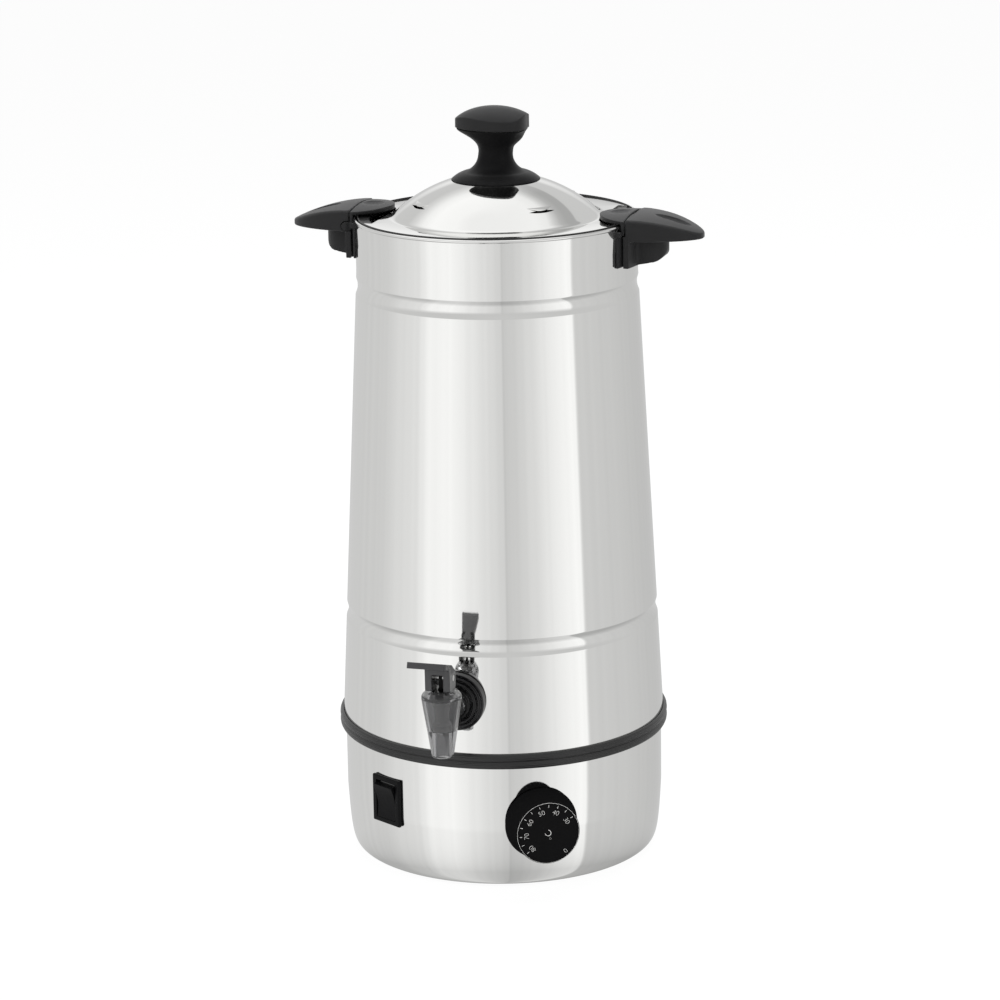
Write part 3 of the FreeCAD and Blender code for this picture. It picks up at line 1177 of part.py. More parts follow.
# Places that several pieces share
TAP_Z = POT_LOW + TAP_RISE
SPOUT_Y = -pot_r(TAP_Z) - SPOUT_STAND_OFF
THERMO_Z = PLINTH_RISE + THERMO_RISE
SWITCH_Z = PLINTH_RISE + SWITCH_RISE
GLAND_Z = PLINTH_RISE + GLAND_RISE
ROCKER_Y = -(PLINTH_R + BEZEL_PROUD) + ROCKER_THICK


def main():
    make_pot()
    make_plinth()
    make_gasket()
    make_base()
    make_heater()
    make_thermostat()
    make_switch()
    make_cable_entry()
    make_lid()
    make_knob()
    make_handles()
    make_spout(make_tap_shank())
    for name, shape in PARTS.items():
        solids = shape.Solids
        if not solids or not shape.isValid():
            raise ValueError(name + " is not a valid solid")
        print(name, len(solids), round(shape.Volume / 1000, 2), "cm3")
        shape.exportStep("parts/" + name + ".step")
    print(len(PARTS), "nodes")


main()
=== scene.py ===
# %% [markdown]
# # A mulled wine dispenser: finishes and fine shapes
# The working model gives every piece its place and size. This lesson dresses it: polished steel sheet,
# moulded black plastic, a smoky see-through spout, ribbed rubber and a printed dial.
# All lengths are in metres, +Z is up, the tap faces -Y and the origin is under the pot's axis.
# The working model's boxes give the dressed pieces their sizes.

# %% Load the working model
import json
import math

import bmesh
import bpy
from mathutils import Matrix, Vector


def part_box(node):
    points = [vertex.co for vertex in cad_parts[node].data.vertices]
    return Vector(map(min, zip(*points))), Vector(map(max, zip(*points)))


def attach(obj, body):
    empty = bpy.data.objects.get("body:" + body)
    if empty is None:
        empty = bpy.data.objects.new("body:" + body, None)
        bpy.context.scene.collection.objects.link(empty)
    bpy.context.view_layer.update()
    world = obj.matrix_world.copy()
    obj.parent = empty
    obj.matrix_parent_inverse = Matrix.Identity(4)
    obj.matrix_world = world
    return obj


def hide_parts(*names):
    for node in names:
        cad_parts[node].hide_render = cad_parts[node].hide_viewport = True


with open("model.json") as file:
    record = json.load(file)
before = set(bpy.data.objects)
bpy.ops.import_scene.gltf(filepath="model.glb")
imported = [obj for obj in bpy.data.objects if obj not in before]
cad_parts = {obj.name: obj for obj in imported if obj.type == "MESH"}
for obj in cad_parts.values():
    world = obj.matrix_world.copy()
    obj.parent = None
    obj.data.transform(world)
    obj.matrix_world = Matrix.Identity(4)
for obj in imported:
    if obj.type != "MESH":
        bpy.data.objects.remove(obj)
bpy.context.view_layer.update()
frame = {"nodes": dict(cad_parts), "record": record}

MM = 0.001
UM = 0.000001
nodes = frame["nodes"]

# %% [markdown]
# ## The view
# The photograph looks slightly down on the pot from the right of the tap, through a long lens.
# A camera can be placed by eye, or worked out: an ellipse seen at a known height gives the pitch, and the
# taper of the outline gives the distance. The latter is used, with a little roll and turn at the end.

# %% Camera
VIEW_AZIMUTH = math.radians(16.2)
VIEW_DISTANCE = 2.300
VIEW_HEIGHT = 0.8535
VIEW_PITCH = math.radians(14.78)
VIEW_ROLL = math.radians(-0.86)
# a hair to the left, so that the object stands in the picture as in the photograph
VIEW_TURN = 0.00018
LENS = 123.35
SENSOR = 36.0


def make_camera():
    camera = bpy.data.objects.new("camera", bpy.data.cameras.new("camera"))
    bpy.context.scene.collection.objects.link(camera)
    camera.data.sensor_width = SENSOR
    camera.data.lens = LENS
    camera.location = (VIEW_DISTANCE * math.sin(VIEW_AZIMUTH),
                       -VIEW_DISTANCE * math.cos(VIEW_AZIMUTH), VIEW_HEIGHT)
    level = (Matrix.Rotation(VIEW_AZIMUTH + VIEW_TURN, 4, "Z")
             @ Matrix.Rotation(math.pi / 2 - VIEW_PITCH, 4, "X"))
    camera.matrix_world = (Matrix.Translation(camera.location) @ level
                           @ Matrix.Rotation(VIEW_ROLL, 4, "Z"))
    bpy.context.scene.camera = camera
    print("camera at", [round(v, 3) for v in camera.location])


make_camera()
bpy.context.scene.view_settings.view_transform = "Standard"

# %% [markdown]
# ## A short way to write nodes
# A world or a material is a small graph of nodes. Each node and each link could be written by hand, but
# that hides the idea behind the bookkeeping. One helper adds a node with its settings and inputs, and
# a few more wrap the kinds that come back most: a sum, a ramp between two values, a mix of two greys.

# %% Node helpers
def add(tree, kind, inputs=None, **settings):
    """Adds a node, sets its own settings, and sets or links the inputs given by name."""
    node = tree.nodes.new("ShaderNode" + kind)
    for key, value in settings.items():
        setattr(node, key, value)
    for key, value in (inputs or {}).items():
        socket = node.inputs[key]
        if isinstance(value, bpy.types.NodeSocket):
            tree.links.new(value, socket)
        else:
            socket.default_value = value
    return node


def math_node(tree, operation, *values):
    return add(tree, "Math", dict(enumerate(values)), operation=operation).outputs[0]


def risen(tree, value, start, end, low=0.0, high=1.0):
    """Goes from low to high as the value goes from start to end."""
    return add(tree, "MapRange", {"Value": value, "From Min": start, "From Max": end,
                                  "To Min": low, "To Max": high}).outputs["Result"]


def mixed(tree, share, a, b):
    return add(tree, "Mix", {0: share, 6: a, 7: b}, data_type="RGBA").outputs[2]


def grey(level):
    return (level, level, level, 1.0)


def grey_ramp(tree, share, marks):
    """Grey that runs through (place, level) marks as the share goes from 0 to 1."""
    ramp = add(tree, "ValToRGB", {0: share})
    stops = ramp.color_ramp.elements
    while len(stops) > 1:
        stops.remove(stops[0])
    stops[0].position = marks[0][0]
    stops[0].color = grey(marks[0][1])
    for place, level in marks[1:]:
        stops.new(place).color = grey(level)
    return ramp.outputs["Color"]


print("node helpers ready")

# %% [markdown]
# ## The room that the steel mirrors
# Polished steel has no colour of its own to speak of: it shows the room. Real soft boxes could stand
# round the pot, but each would need a mesh and a place. Here the room is painted in the world instead,
# by the direction in which a mirrored ray leaves: pale walls with two tall bright fields in front and a
# slim dark gap between them, greyer walls at the sides and behind, and a ceiling over the dome.

# %% Marks of the room
# compass share round the room (0 and 1 behind, 0.5 straight in front of the tap) and brightness there
ROOM = ((0.00, 0.60), (0.10, 0.66), (0.27, 0.72), (0.31, 0.82), (0.36, 0.87), (0.385, 1.06),
        (0.44, 1.10), (0.47, 1.00), (0.50, 0.90), (0.539, 0.79), (0.5405, 0.62), (0.542, 0.77),
        (0.551, 0.75), (0.5535, 0.60), (0.557, 0.69), (0.575, 0.71), (0.615, 0.82), (0.66, 1.00),
        (0.70, 1.12), (0.716, 1.12), (0.720, 0.71), (0.82, 0.67), (0.93, 0.60), (1.00, 0.60))
# height of the direction (0 level, 1 straight up) and brightness there, left and right of the pot
CEILING_LEFT = ((0.00, 0.62), (0.40, 0.66), (0.62, 0.66), (0.70, 0.80), (0.79, 1.05), (0.86, 1.14),
                (0.97, 1.10), (1.00, 1.02))
CEILING_RIGHT = ((0.00, 0.64), (0.50, 0.67), (0.562, 0.66), (0.578, 0.46), (0.66, 0.46), (0.72, 0.54),
                 (0.765, 0.72), (0.81, 0.98), (0.88, 1.05), (1.00, 1.02))
CEILING_SIDES = (-0.25, 0.05)
CEILING_LEAN = -0.13
WALL_TO_CEILING = (0.08, 0.30)
# below this the room fades to a darker floor
FLOOR_FADE = (-0.62, -0.40)
FLOOR_DARK = 0.70
# small bright screen straight behind the pot, which only upward faces mirror
AWAY = (-0.28, 0.96)
SCREEN = ((0.00, 0.0), (0.04, 0.0), (0.12, 1.0), (0.36, 1.0), (0.50, 0.0), (1.00, 0.0))
SCREEN_LIGHT = 1.02
SCREEN_WIDE = (0.90, 0.96)
# faint upright streaks on the walls
STREAK_SCALE = 70.0
STREAK_DETAIL = 4.0
STREAK_DEPTH = 0.045
print("room marks", len(ROOM), len(CEILING_LEFT), len(CEILING_RIGHT), len(SCREEN))

# %% [markdown]
# ## Painting the room
# The direction's compass share picks the wall's grey, and its height picks the ceiling's. Mirrored rays
# see that room. The camera sees plain white instead, and matt surfaces get a plain even light, so the
# room never tints them.

# %% World
PLAIN_LIGHT = 0.30


def painted_walls(tree, parts):
    """Brightness of the walls by compass share, with faint streaks and a darker floor."""
    turn = math_node(tree, "ARCTAN2", parts["X"], math_node(tree, "MULTIPLY", parts["Y"], -1.0))
    share = math_node(tree, "MULTIPLY_ADD", turn, 1 / (2 * math.pi), 0.5)
    streaks = add(tree, "TexNoise", {"W": share, "Scale": STREAK_SCALE, "Detail": STREAK_DETAIL},
                  noise_dimensions="1D").outputs["Fac"]
    dim = risen(tree, streaks, 0.0, 1.0, 1 - STREAK_DEPTH, 1 + STREAK_DEPTH)
    low = risen(tree, parts["Z"], *FLOOR_FADE, FLOOR_DARK)
    strength = math_node(tree, "MULTIPLY", dim, low)
    return add(tree, "VectorMath", {0: grey_ramp(tree, share, ROOM), "Scale": strength},
               operation="SCALE").outputs[0]


def painted_ceiling(tree, parts):
    """Brightness of the ceiling by height, other on the left than on the right, with the screen."""
    lift = math_node(tree, "ADD", parts["Z"], math_node(tree, "MULTIPLY", parts["X"], CEILING_LEAN))
    side = risen(tree, parts["X"], *CEILING_SIDES)
    ceiling = mixed(tree, side, grey_ramp(tree, lift, CEILING_LEFT), grey_ramp(tree, lift, CEILING_RIGHT))
    away = math_node(tree, "ADD", math_node(tree, "MULTIPLY", parts["X"], AWAY[0]),
                     math_node(tree, "MULTIPLY", parts["Y"], AWAY[1]))
    behind = risen(tree, away, *SCREEN_WIDE)
    screen = math_node(tree, "MULTIPLY", behind, grey_ramp(tree, parts["Z"], SCREEN))
    return mixed(tree, screen, ceiling, grey(SCREEN_LIGHT))


def make_world():
    world = bpy.data.worlds.new("studio")
    bpy.context.scene.world = world
    world.use_nodes = True
    tree = world.node_tree
    tree.nodes.clear()
    way = add(tree, "TexCoord").outputs["Generated"]
    parts = add(tree, "SeparateXYZ", {0: way}).outputs
    height = risen(tree, parts["Z"], *WALL_TO_CEILING)
    both = mixed(tree, height, painted_walls(tree, parts), painted_ceiling(tree, parts))
    path = add(tree, "LightPath").outputs
    room = add(tree, "Background", {"Color": both, "Strength": 1.0})
    white = add(tree, "Background", {"Color": grey(1.0), "Strength": 1.0})
    plain = add(tree, "Background", {"Color": grey(1.0), "Strength": PLAIN_LIGHT})
    lit = add(tree, "MixShader", {0: path["Is Glossy Ray"], 1: plain.outputs[0], 2: room.outputs[0]})
    clear = math_node(tree, "MAXIMUM", path["Is Camera Ray"], path["Is Transmission Ray"])
    seen = add(tree, "MixShader", {0: clear, 1: lit.outputs[0], 2: white.outputs[0]})
    add(tree, "OutputWorld", {0: seen.outputs[0]})
    print("room painted with", len(tree.nodes), "nodes")


make_world()

# %% [markdown]
# ## Lamps
# The plastics need light with a direction, or they look flat. Three large soft boxes give it: a key from
# the left, a weaker fill from the right and one overhead, a little behind. Small lamps would give hard
# shadows. The steel doesn't mirror them, because its room is already painted.

# %% Lamps
AIM = Vector((0, 0, 0.25))
# name, azimuth in degrees, distance, height, size, watts
LAMPS = (("key_left", -40, 2.2, 1.5, (1.2, 1.6), 26),
         ("fill_right", 62, 2.2, 1.2, (1.2, 1.6), 16),
         ("top", 180, 0.6, 2.4, (1.6, 1.6), 48))


def make_lamp(name, azimuth, distance, height, size, watts):
    """Soft box that faces the middle of the pot."""
    lamp = bpy.data.objects.new(name, bpy.data.lights.new(name, "AREA"))
    bpy.context.scene.collection.objects.link(lamp)
    lamp.data.shape = "RECTANGLE"
    lamp.data.size, lamp.data.size_y = size
    lamp.data.energy = watts
    lamp.visible_glossy = False
    angle = math.radians(azimuth)
    lamp.location = (distance * math.sin(angle), -distance * math.cos(angle), height)
    lamp.rotation_euler = (AIM - lamp.location).to_track_quat("-Z", "Y").to_euler()
    print(name, watts, "W")


for lamp_values in LAMPS:
    make_lamp(*lamp_values)

# %% [markdown]
# ## Floor
# A white floor could be made with strong light, but that would bleach the object too. Here most of what
# the camera sees of the floor is its own even white, and the rest is pale paint, which keeps a soft
# shadow under the pot.

# %% Floor
FLOOR_HALF = 12.0
FLOOR_PAINT = 0.85
FLOOR_OWN_LIGHT = 0.90
FLOOR_WHITE = 1.05


def make_floor():
    mesh = bpy.data.meshes.new("floor")
    bm = bmesh.new()
    bmesh.ops.create_grid(bm, x_segments=1, y_segments=1, size=FLOOR_HALF)
    bm.to_mesh(mesh)
    bm.free()
    floor = bpy.data.objects.new("floor", mesh)
    bpy.context.scene.collection.objects.link(floor)
    floor.visible_glossy = False
    material = bpy.data.materials.new("pale_floor")
    material.use_nodes = True
    tree = material.node_tree
    tree.nodes.clear()
    path = add(tree, "LightPath").outputs
    paint = add(tree, "BsdfDiffuse", {"Color": grey(FLOOR_PAINT)})
    glow = add(tree, "Emission", {"Color": grey(1.0), "Strength": FLOOR_WHITE})
    clear = math_node(tree, "MAXIMUM", path["Is Camera Ray"], path["Is Transmission Ray"])
    clear = math_node(tree, "MULTIPLY", clear, FLOOR_OWN_LIGHT)
    mix = add(tree, "MixShader", {0: clear, 1: paint.outputs[0], 2: glow.outputs[0]})
    add(tree, "OutputMaterial", {0: mix.outputs[0]})
    mesh.materials.append(material)
    print("floor", 2 * FLOOR_HALF, "m square")


make_floor()

# %% [markdown]
# ## Effects that several finishes share
# No real surface is even. Each material could have its own noise, but the same three effects come back:
# a mottle that varies the gloss like handling marks, a fine grain on moulded plastic, and drawn lines on
# rolled or turned metal. Each is a node group with named inputs, built once and used with other values.

# %% Node groups
def new_group(name, inputs, output):
    """Empty node group with float inputs, given as (label, value), and one float output."""
    group = bpy.data.node_groups.new(name, "ShaderNodeTree")
    for label, value in inputs:
        socket = group.interface.new_socket(label, in_out="INPUT", socket_type="NodeSocketFloat")
        socket.default_value = value
    group.interface.new_socket(output, in_out="OUTPUT", socket_type="NodeSocketFloat")
    given = group.nodes.new("NodeGroupInput").outputs
    result = group.nodes.new("NodeGroupOutput").inputs[0]
    return group, given, result


def make_mottle():
    """Middle value plus or minus a share of soft noise."""
    group, given, result = new_group("mottle", (("Scale", 20.0), ("Middle", 0.3), ("Spread", 0.1)), "Value")
    place = add(group, "TexCoord").outputs["Object"]
    noise = add(group, "TexNoise", {"Vector": place, "Scale": given["Scale"], "Detail": 3.0})
    swing = math_node(group, "SUBTRACT", noise.outputs["Fac"], 0.5)
    swing = math_node(group, "MULTIPLY", swing, given["Spread"])
    group.links.new(math_node(group, "ADD", swing, given["Middle"]), result)
    return group


def make_grain():
    """Height of a fine spark-eroded mould texture."""
    group, given, result = new_group("mould_grain", (("Scale", 1500.0), ("Depth", 1.0)), "Height")
    place = add(group, "TexCoord").outputs["Object"]
    noise = add(group, "TexNoise", {"Vector": place, "Scale": given["Scale"], "Detail": 2.0})
    group.links.new(math_node(group, "MULTIPLY", noise.outputs["Fac"], given["Depth"]), result)
    return group


def make_drawn_lines():
    """Height of fine lines that run level round the piece, as rolling and polishing leave them."""
    inputs = (("Fine", 2200.0), ("Long", 12.0), ("Depth", 1.0))
    group, given, result = new_group("drawn_lines", inputs, "Height")
    place = add(group, "TexCoord").outputs["Object"]
    parts = add(group, "SeparateXYZ", {0: place}).outputs
    turn = math_node(group, "ARCTAN2", parts["Y"], parts["X"])
    along = math_node(group, "MULTIPLY", turn, given["Long"])
    up = math_node(group, "MULTIPLY", parts["Z"], given["Fine"])
    unrolled = add(group, "CombineXYZ", {0: along, 1: up, 2: 0.0}).outputs[0]
    noise = add(group, "TexNoise", {"Vector": unrolled, "Scale": 1.0, "Detail": 2.0})
    group.links.new(math_node(group, "MULTIPLY", noise.outputs["Fac"], given["Depth"]), result)
    return group


MOTTLE = make_mottle()
GRAIN = make_grain()
DRAWN = make_drawn_lines()
print("node groups", MOTTLE.name, GRAIN.name, DRAWN.name)

# %% [markdown]
# ## One maker for all finishes
# Each finish is one Principled shader. Numbers that are the same all over sit on the shader itself.
# The gloss comes through the mottle group, and the fine relief through a bump of grain or drawn lines.

# %% Material maker
FINISH = {}


def use_group(tree, group, **inputs):
    node = tree.nodes.new("ShaderNodeGroup")
    node.node_tree = group
    for key, value in inputs.items():
        node.inputs[key].default_value = value
    return node.outputs[0]


def grain(scale):
    return lambda tree: use_group(tree, GRAIN, Scale=scale, Depth=1.0)


def lines(fine, long):
    return lambda tree: use_group(tree, DRAWN, Fine=fine, Long=long, Depth=1.0)


def make_finish(name, colour, metallic, gloss, relief, **plain):
    """gloss is (mottle scale, middle roughness, spread); relief is (height maker, bump distance)."""
    material = bpy.data.materials.new(name)
    material.use_nodes = True
    tree = material.node_tree
    tree.nodes.clear()
    scale, middle, spread = gloss
    rough = use_group(tree, MOTTLE, Scale=scale, Middle=middle, Spread=spread)
    shader = add(tree, "BsdfPrincipled",
                 {"Base Color": (*colour, 1.0), "Metallic": metallic, "Roughness": rough})
    for key, value in plain.items():
        shader.inputs[key.replace("_", " ")].default_value = value
    height, distance = relief
    bump = add(tree, "Bump", {"Height": height(tree), "Strength": 1.0, "Distance": distance})
    tree.links.new(bump.outputs["Normal"], shader.inputs["Normal"])
    add(tree, "OutputMaterial", {0: shader.outputs[0]})
    FINISH[name] = material


print("finish maker ready")

# %% [markdown]
# ## Metals
# The outside is polished to a mirror with the faintest lines round it, and the pot's inside is left
# satin. Plates out of sight have a mill finish, screws and rods are zinc plated, the heating plate is
# aluminium, and the threaded inserts and the thin capillary share a brass finish. They could differ in
# colour alone, but on bare metal it is the gloss that tells them apart, so each has its own.

# %% Metal finishes
make_finish("polished_steel", (0.83, 0.83, 0.815), 1.0, (9.0, 0.055, 0.03), (lines(1500.0, 8.0), 1.2 * UM))
make_finish("satin_steel", (0.80, 0.80, 0.79), 1.0, (30.0, 0.46, 0.10), (lines(1500.0, 8.0), 4 * UM))
make_finish("plain_steel", (0.62, 0.62, 0.61), 1.0, (40.0, 0.34, 0.12), (lines(2500.0, 30.0), 6 * UM))
make_finish("zinc_steel", (0.66, 0.66, 0.65), 1.0, (60.0, 0.28, 0.12), (grain(900.0), 4 * UM))
make_finish("aluminium_plate", (0.76, 0.76, 0.77), 1.0, (50.0, 0.36, 0.1), (grain(700.0), 10 * UM))
make_finish("brass_insert", (0.78, 0.58, 0.28), 1.0, (80.0, 0.30, 0.1), (grain(900.0), 5 * UM))
print("metals", len(FINISH))

# %% [markdown]
# ## Plastics
# Black plastic is never quite black: a matt mould texture scatters light, which a little sheen gives at
# grazing angles. The knob's base is a darker copy of the matt black, painted shade for its neck; the dial is
# deeper black, the tap's collar is glossy, the lever is dark grey, and the hidden electrical fittings are
# pale. The spout lets light through: its smoky tint could come from a volume inside it, but a tint in the
# base colour is quicker and has no noise.

# %% Plastic finishes
make_finish("matt_black_plastic", (0.018, 0.018, 0.0185), 0.0, (35.0, 0.42, 0.08), (grain(2600.0), 6 * UM),
            Specular_IOR_Level=0.16, Sheen_Weight=0.10, Sheen_Roughness=0.45)
# darker copy of the matt black for the knob's base: painted shade for its neck
make_finish("knob_shaded_black", (0.006, 0.006, 0.0063), 0.0, (35.0, 0.40, 0.08), (grain(2600.0), 6 * UM),
            Specular_IOR_Level=0.07, Sheen_Weight=0.16, Sheen_Roughness=0.35)
make_finish("dial_black", (0.009, 0.009, 0.0093), 0.0, (50.0, 0.40, 0.10), (grain(1800.0), 4 * UM),
            Specular_IOR_Level=0.0)
make_finish("collar_black", (0.004, 0.004, 0.0043), 0.0, (50.0, 0.14, 0.06), (grain(1800.0), 3 * UM),
            Specular_IOR_Level=0.45)
make_finish("black_plastic", (0.004, 0.004, 0.0045), 0.0, (50.0, 0.36, 0.10), (grain(1800.0), 4 * UM),
            Specular_IOR_Level=0.10)
make_finish("lever_plastic", (0.045, 0.045, 0.047), 0.0, (50.0, 0.18, 0.08), (grain(1800.0), 4 * UM),
            Specular_IOR_Level=0.50)
make_finish("smoke_plastic", (0.36, 0.36, 0.365), 0.0, (50.0, 0.06, 0.03), (grain(900.0), 4 * UM),
            Transmission_Weight=0.92, IOR=1.49)
make_finish("inner_plastic", (0.75, 0.73, 0.68), 0.0, (40.0, 0.42, 0.1), (grain(1400.0), 10 * UM))
print("metals and plastics", len(FINISH))

# %% [markdown]
# ## Rubber, silicone and print
# The gasket is drawn out of a die, which leaves lines along it, so it shares the metal's line group.
# Silicone is pale and soft, and the dial's print is a thin matt white. Then every piece of the working
# model gets the finish of its own slot. A few finishes are varieties of a slot: they are listed.

# %% Soft finishes
make_finish("gasket_rubber", (0.016, 0.016, 0.016), 0.0, (60.0, 0.30, 0.10), (lines(1700.0, 5.0), 100 * UM),
            Specular_IOR_Level=0.50)
make_finish("silicone", (0.55, 0.55, 0.53), 0.0, (60.0, 0.45, 0.1), (grain(1200.0), 10 * UM))
make_finish("white_print", (0.82, 0.82, 0.80), 0.0, (90.0, 0.5, 0.1), (grain(3000.0), 4 * UM))
VARIETY = {"knob_shaded_black": "matt_black_plastic", "dial_black": "black_plastic",
           "collar_black": "black_plastic"}
slot_of = {part["node"]: part["material_slot"] for part in frame["record"]["subparts"]}
for name, node in nodes.items():
    node.data.materials.clear()
    node.data.materials.append(FINISH[slot_of[name]])
print("finishes", len(FINISH))

# %% [markdown]
# ## Turned shapes
# Most of this object is turned or spun: pot, plinth, lid, dial and spout. Each could start from a
# cylinder with many cuts, but an outline spun round an axis says the same in a few points. The outline
# is closed, so that a wall has its real thickness, and small curves round its corners.

# %% Outlines and spinning
ROUND_STEPS = 256
ON_AXIS = 1e-7
WELD = 1e-6


def rounded(corners, steps=5):
    """Closed outline through corners (x, y) or (x, y, radius), the latter with an arc."""
    points = []
    count = len(corners)
    for i, corner in enumerate(corners):
        here = Vector(corner[:2])
        if len(corner) < 3:
            points.append(here)
            continue
        back = (Vector(corners[i - 1][:2]) - here).normalized()
        ahead = (Vector(corners[(i + 1) % count][:2]) - here).normalized()
        half = back.angle(ahead) / 2
        centre = here + (back + ahead).normalized() * (corner[2] / math.sin(half))
        reach = corner[2] / math.tan(half)
        start = here + back * reach - centre
        end = here + ahead * reach - centre
        turn = math.atan2(start.x * end.y - start.y * end.x, start.dot(end))
        for k in range(steps + 1):
            points.append(centre + Matrix.Rotation(turn * k / steps, 2) @ start)
    return points


def bent(start, corner, end, count=8):
    """Soft bend between two points, pulled towards the corner between them."""
    start, corner, end = Vector(start), Vector(corner), Vector(end)
    for k in range(count + 1):
        t = k / count
        yield start * (1 - t) ** 2 + corner * 2 * t * (1 - t) + end * t * t


def spun(outline, steps=ROUND_STEPS):
    """Body of revolution about Z from a closed outline of (radius, height)."""
    bm = bmesh.new()
    loop = [bm.verts.new((max(r, 0.0), 0.0, z)) for r, z in outline]
    pairs = zip(loop, loop[1:] + loop[:1])
    edges = [bm.edges.new(pair) for pair in pairs if max(v.co.x for v in pair) > ON_AXIS]
    bmesh.ops.spin(bm, geom=loop + edges, cent=(0, 0, 0), axis=(0, 0, 1), dvec=(0, 0, 0),
                   angle=2 * math.pi, steps=steps, use_merge=True, use_duplicate=False)
    bmesh.ops.remove_doubles(bm, verts=bm.verts, dist=WELD)
    bmesh.ops.recalc_face_normals(bm, faces=bm.faces)
    return bm


def moved(bm, matrix):
    bmesh.ops.transform(bm, matrix=matrix, verts=bm.verts)
    return bm


print("spin helpers ready,", ROUND_STEPS, "steps round")

# %% [markdown]
# ## From a shape to a piece
# A finished shape becomes an object that rides on a body of the model, takes a finish and may stand
# for a node of the working model. Faces are smooth, and edges sharper than a limit stay crisp.

# %% Pieces
NO_SLOT = "white_print"


def as_object(bm, name):
    mesh = bpy.data.meshes.new(name)
    bm.to_mesh(mesh)
    bm.free()
    thing = bpy.data.objects.new(name, mesh)
    bpy.context.scene.collection.objects.link(thing)
    return thing


def dress(piece, body, finish, *replaced, sharp=30.0):
    """Makes an object a piece with smooth faces between sharp edges and one finish."""
    mesh = piece.data
    mesh.shade_smooth()
    mesh.set_sharp_from_angle(angle=math.radians(sharp))
    mesh.materials.clear()
    mesh.materials.append(FINISH[finish])
    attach(piece, body)
    if finish != NO_SLOT:
        VARIETY.get(finish, finish)
    if replaced:
        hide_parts(*replaced)
    print(piece.name, len(mesh.polygons), "faces")
    return piece


def as_piece(bm, name, body, finish, *replaced, sharp=30.0):
    return dress(as_object(bm, name), body, finish, *replaced, sharp=sharp)


def joined(shapes):
    """One bmesh of several; they may overlap."""
    whole = bmesh.new()
    for bm in shapes:
        mesh = bpy.data.meshes.new("bit")
        bm.to_mesh(mesh)
        bm.free()
        whole.from_mesh(mesh)
        bpy.data.meshes.remove(mesh)
    return whole


print("piece helpers ready")

# %% [markdown]
# ## Blocks, rods, prisms and cuts
# Openings are made as a machinist would: a plain cutter is placed and taken away. A boolean modifier
# with the exact solver does it, because it keeps thin sheet closed.

# %% Solid helpers
ROD_STEPS = 96


def block(low, high, matrix):
    bm = bmesh.new()
    bmesh.ops.create_cube(bm, size=1.0)
    low, high = Vector(low), Vector(high)
    place = Matrix.Translation((low + high) / 2) @ Matrix.Diagonal((*(high - low), 1.0))
    return moved(moved(bm, place), matrix)


def rod(radius, start, end):
    """Closed cylinder between two points."""
    start, end = Vector(start), Vector(end)
    bm = bmesh.new()
    bmesh.ops.create_cone(bm, cap_ends=True, segments=ROD_STEPS, radius1=radius, radius2=radius,
                          depth=(end - start).length)
    turn = (end - start).to_track_quat("Z", "Y").to_matrix().to_4x4()
    return moved(bm, Matrix.Translation((start + end) / 2) @ turn)


def prism_of(outline, grow, matrix):
    """Closed prism: a flat outline of 3-D points, extruded by a vector."""
    bm = bmesh.new()
    face = bm.faces.new([bm.verts.new(point) for point in outline])
    grown = bmesh.ops.extrude_face_region(bm, geom=[face])["geom"]
    bmesh.ops.translate(bm, vec=grow, verts=[v for v in grown if isinstance(v, bmesh.types.BMVert)])
    bmesh.ops.recalc_face_normals(bm, faces=bm.faces)
    return moved(bm, matrix)


def carved(bm, *cutters, joins=()):
    """Exact boolean union with joins, then difference with cutters; all are closed meshes."""
    blank = as_object(bm, "blank")
    helpers = []
    for operation, shapes in (("UNION", joins), ("DIFFERENCE", cutters)):
        for shape in shapes:
            helpers.append(as_object(shape, "helper"))
            cut = blank.modifiers.new("cut", "BOOLEAN")
            cut.object = helpers[-1]
            cut.operation = operation
            cut.solver = "EXACT"
    result = bmesh.new()
    result.from_object(blank, bpy.context.evaluated_depsgraph_get())
    for thing in [blank] + helpers:
        data = thing.data
        bpy.data.objects.remove(thing)
        bpy.data.meshes.remove(data)
    return result


print("solid helpers ready")

# %% [markdown]
# ## Moulded pieces
# Handles, knob and lever have lofted faces that would be slow to draw again. The working model already
# has their shape, but its edges are knife sharp. A merged copy is remeshed with fine voxels and smoothed
# a few times, which rounds every edge a little, as a mould does.

# %% Moulding helpers
MOULDED_SHARP = 60.0


def moulded(node, body, finish, voxel, soften):
    """Stands for a node: its merged copy, remeshed and smoothed."""
    bm = bmesh.new()
    bm.from_mesh(nodes[node].data)
    bmesh.ops.remove_doubles(bm, verts=bm.verts, dist=WELD)
    copy = as_object(bm, "copy")
    remesh = copy.modifiers.new("remesh", "REMESH")
    remesh.mode = "VOXEL"
    remesh.voxel_size = voxel
    smooth = copy.modifiers.new("smooth", "SMOOTH")
    smooth.factor = 0.5
    smooth.iterations = soften
    mesh = bpy.data.meshes.new_from_object(copy.evaluated_get(bpy.context.evaluated_depsgraph_get()))
    mould = copy.data
    bpy.data.objects.remove(copy)
    bpy.data.meshes.remove(mould)
    piece = bpy.data.objects.new(node + "_skin", mesh)
    bpy.context.scene.collection.objects.link(piece)
    return dress(piece, body, finish, node, sharp=MOULDED_SHARP)


def softened_band(piece, z, half, times):
    """Blends a level band of a finished piece, where two lofts meet with a small step."""
    bm = bmesh.new()
    bm.from_mesh(piece.data)
    band = [v for v in bm.verts if abs(v.co.z - z) < half]
    for _ in range(times):
        bmesh.ops.smooth_vert(bm, verts=band, factor=0.5, use_axis_x=True, use_axis_y=True, use_axis_z=False)
    bm.to_mesh(piece.data)
    bm.free()
    print("blended", len(band), "points of", piece.name)


# %% [markdown]
# ## Pot
# The pot is one polished sheet rolled into a cone with a straight neck. Two shallow channels stiffen it,
# and its upper edge is rolled over into a bead. It could be a plain shell, but the wall is spun with its
# real thickness, lip and floor, so that the inside is right when the lid is off.

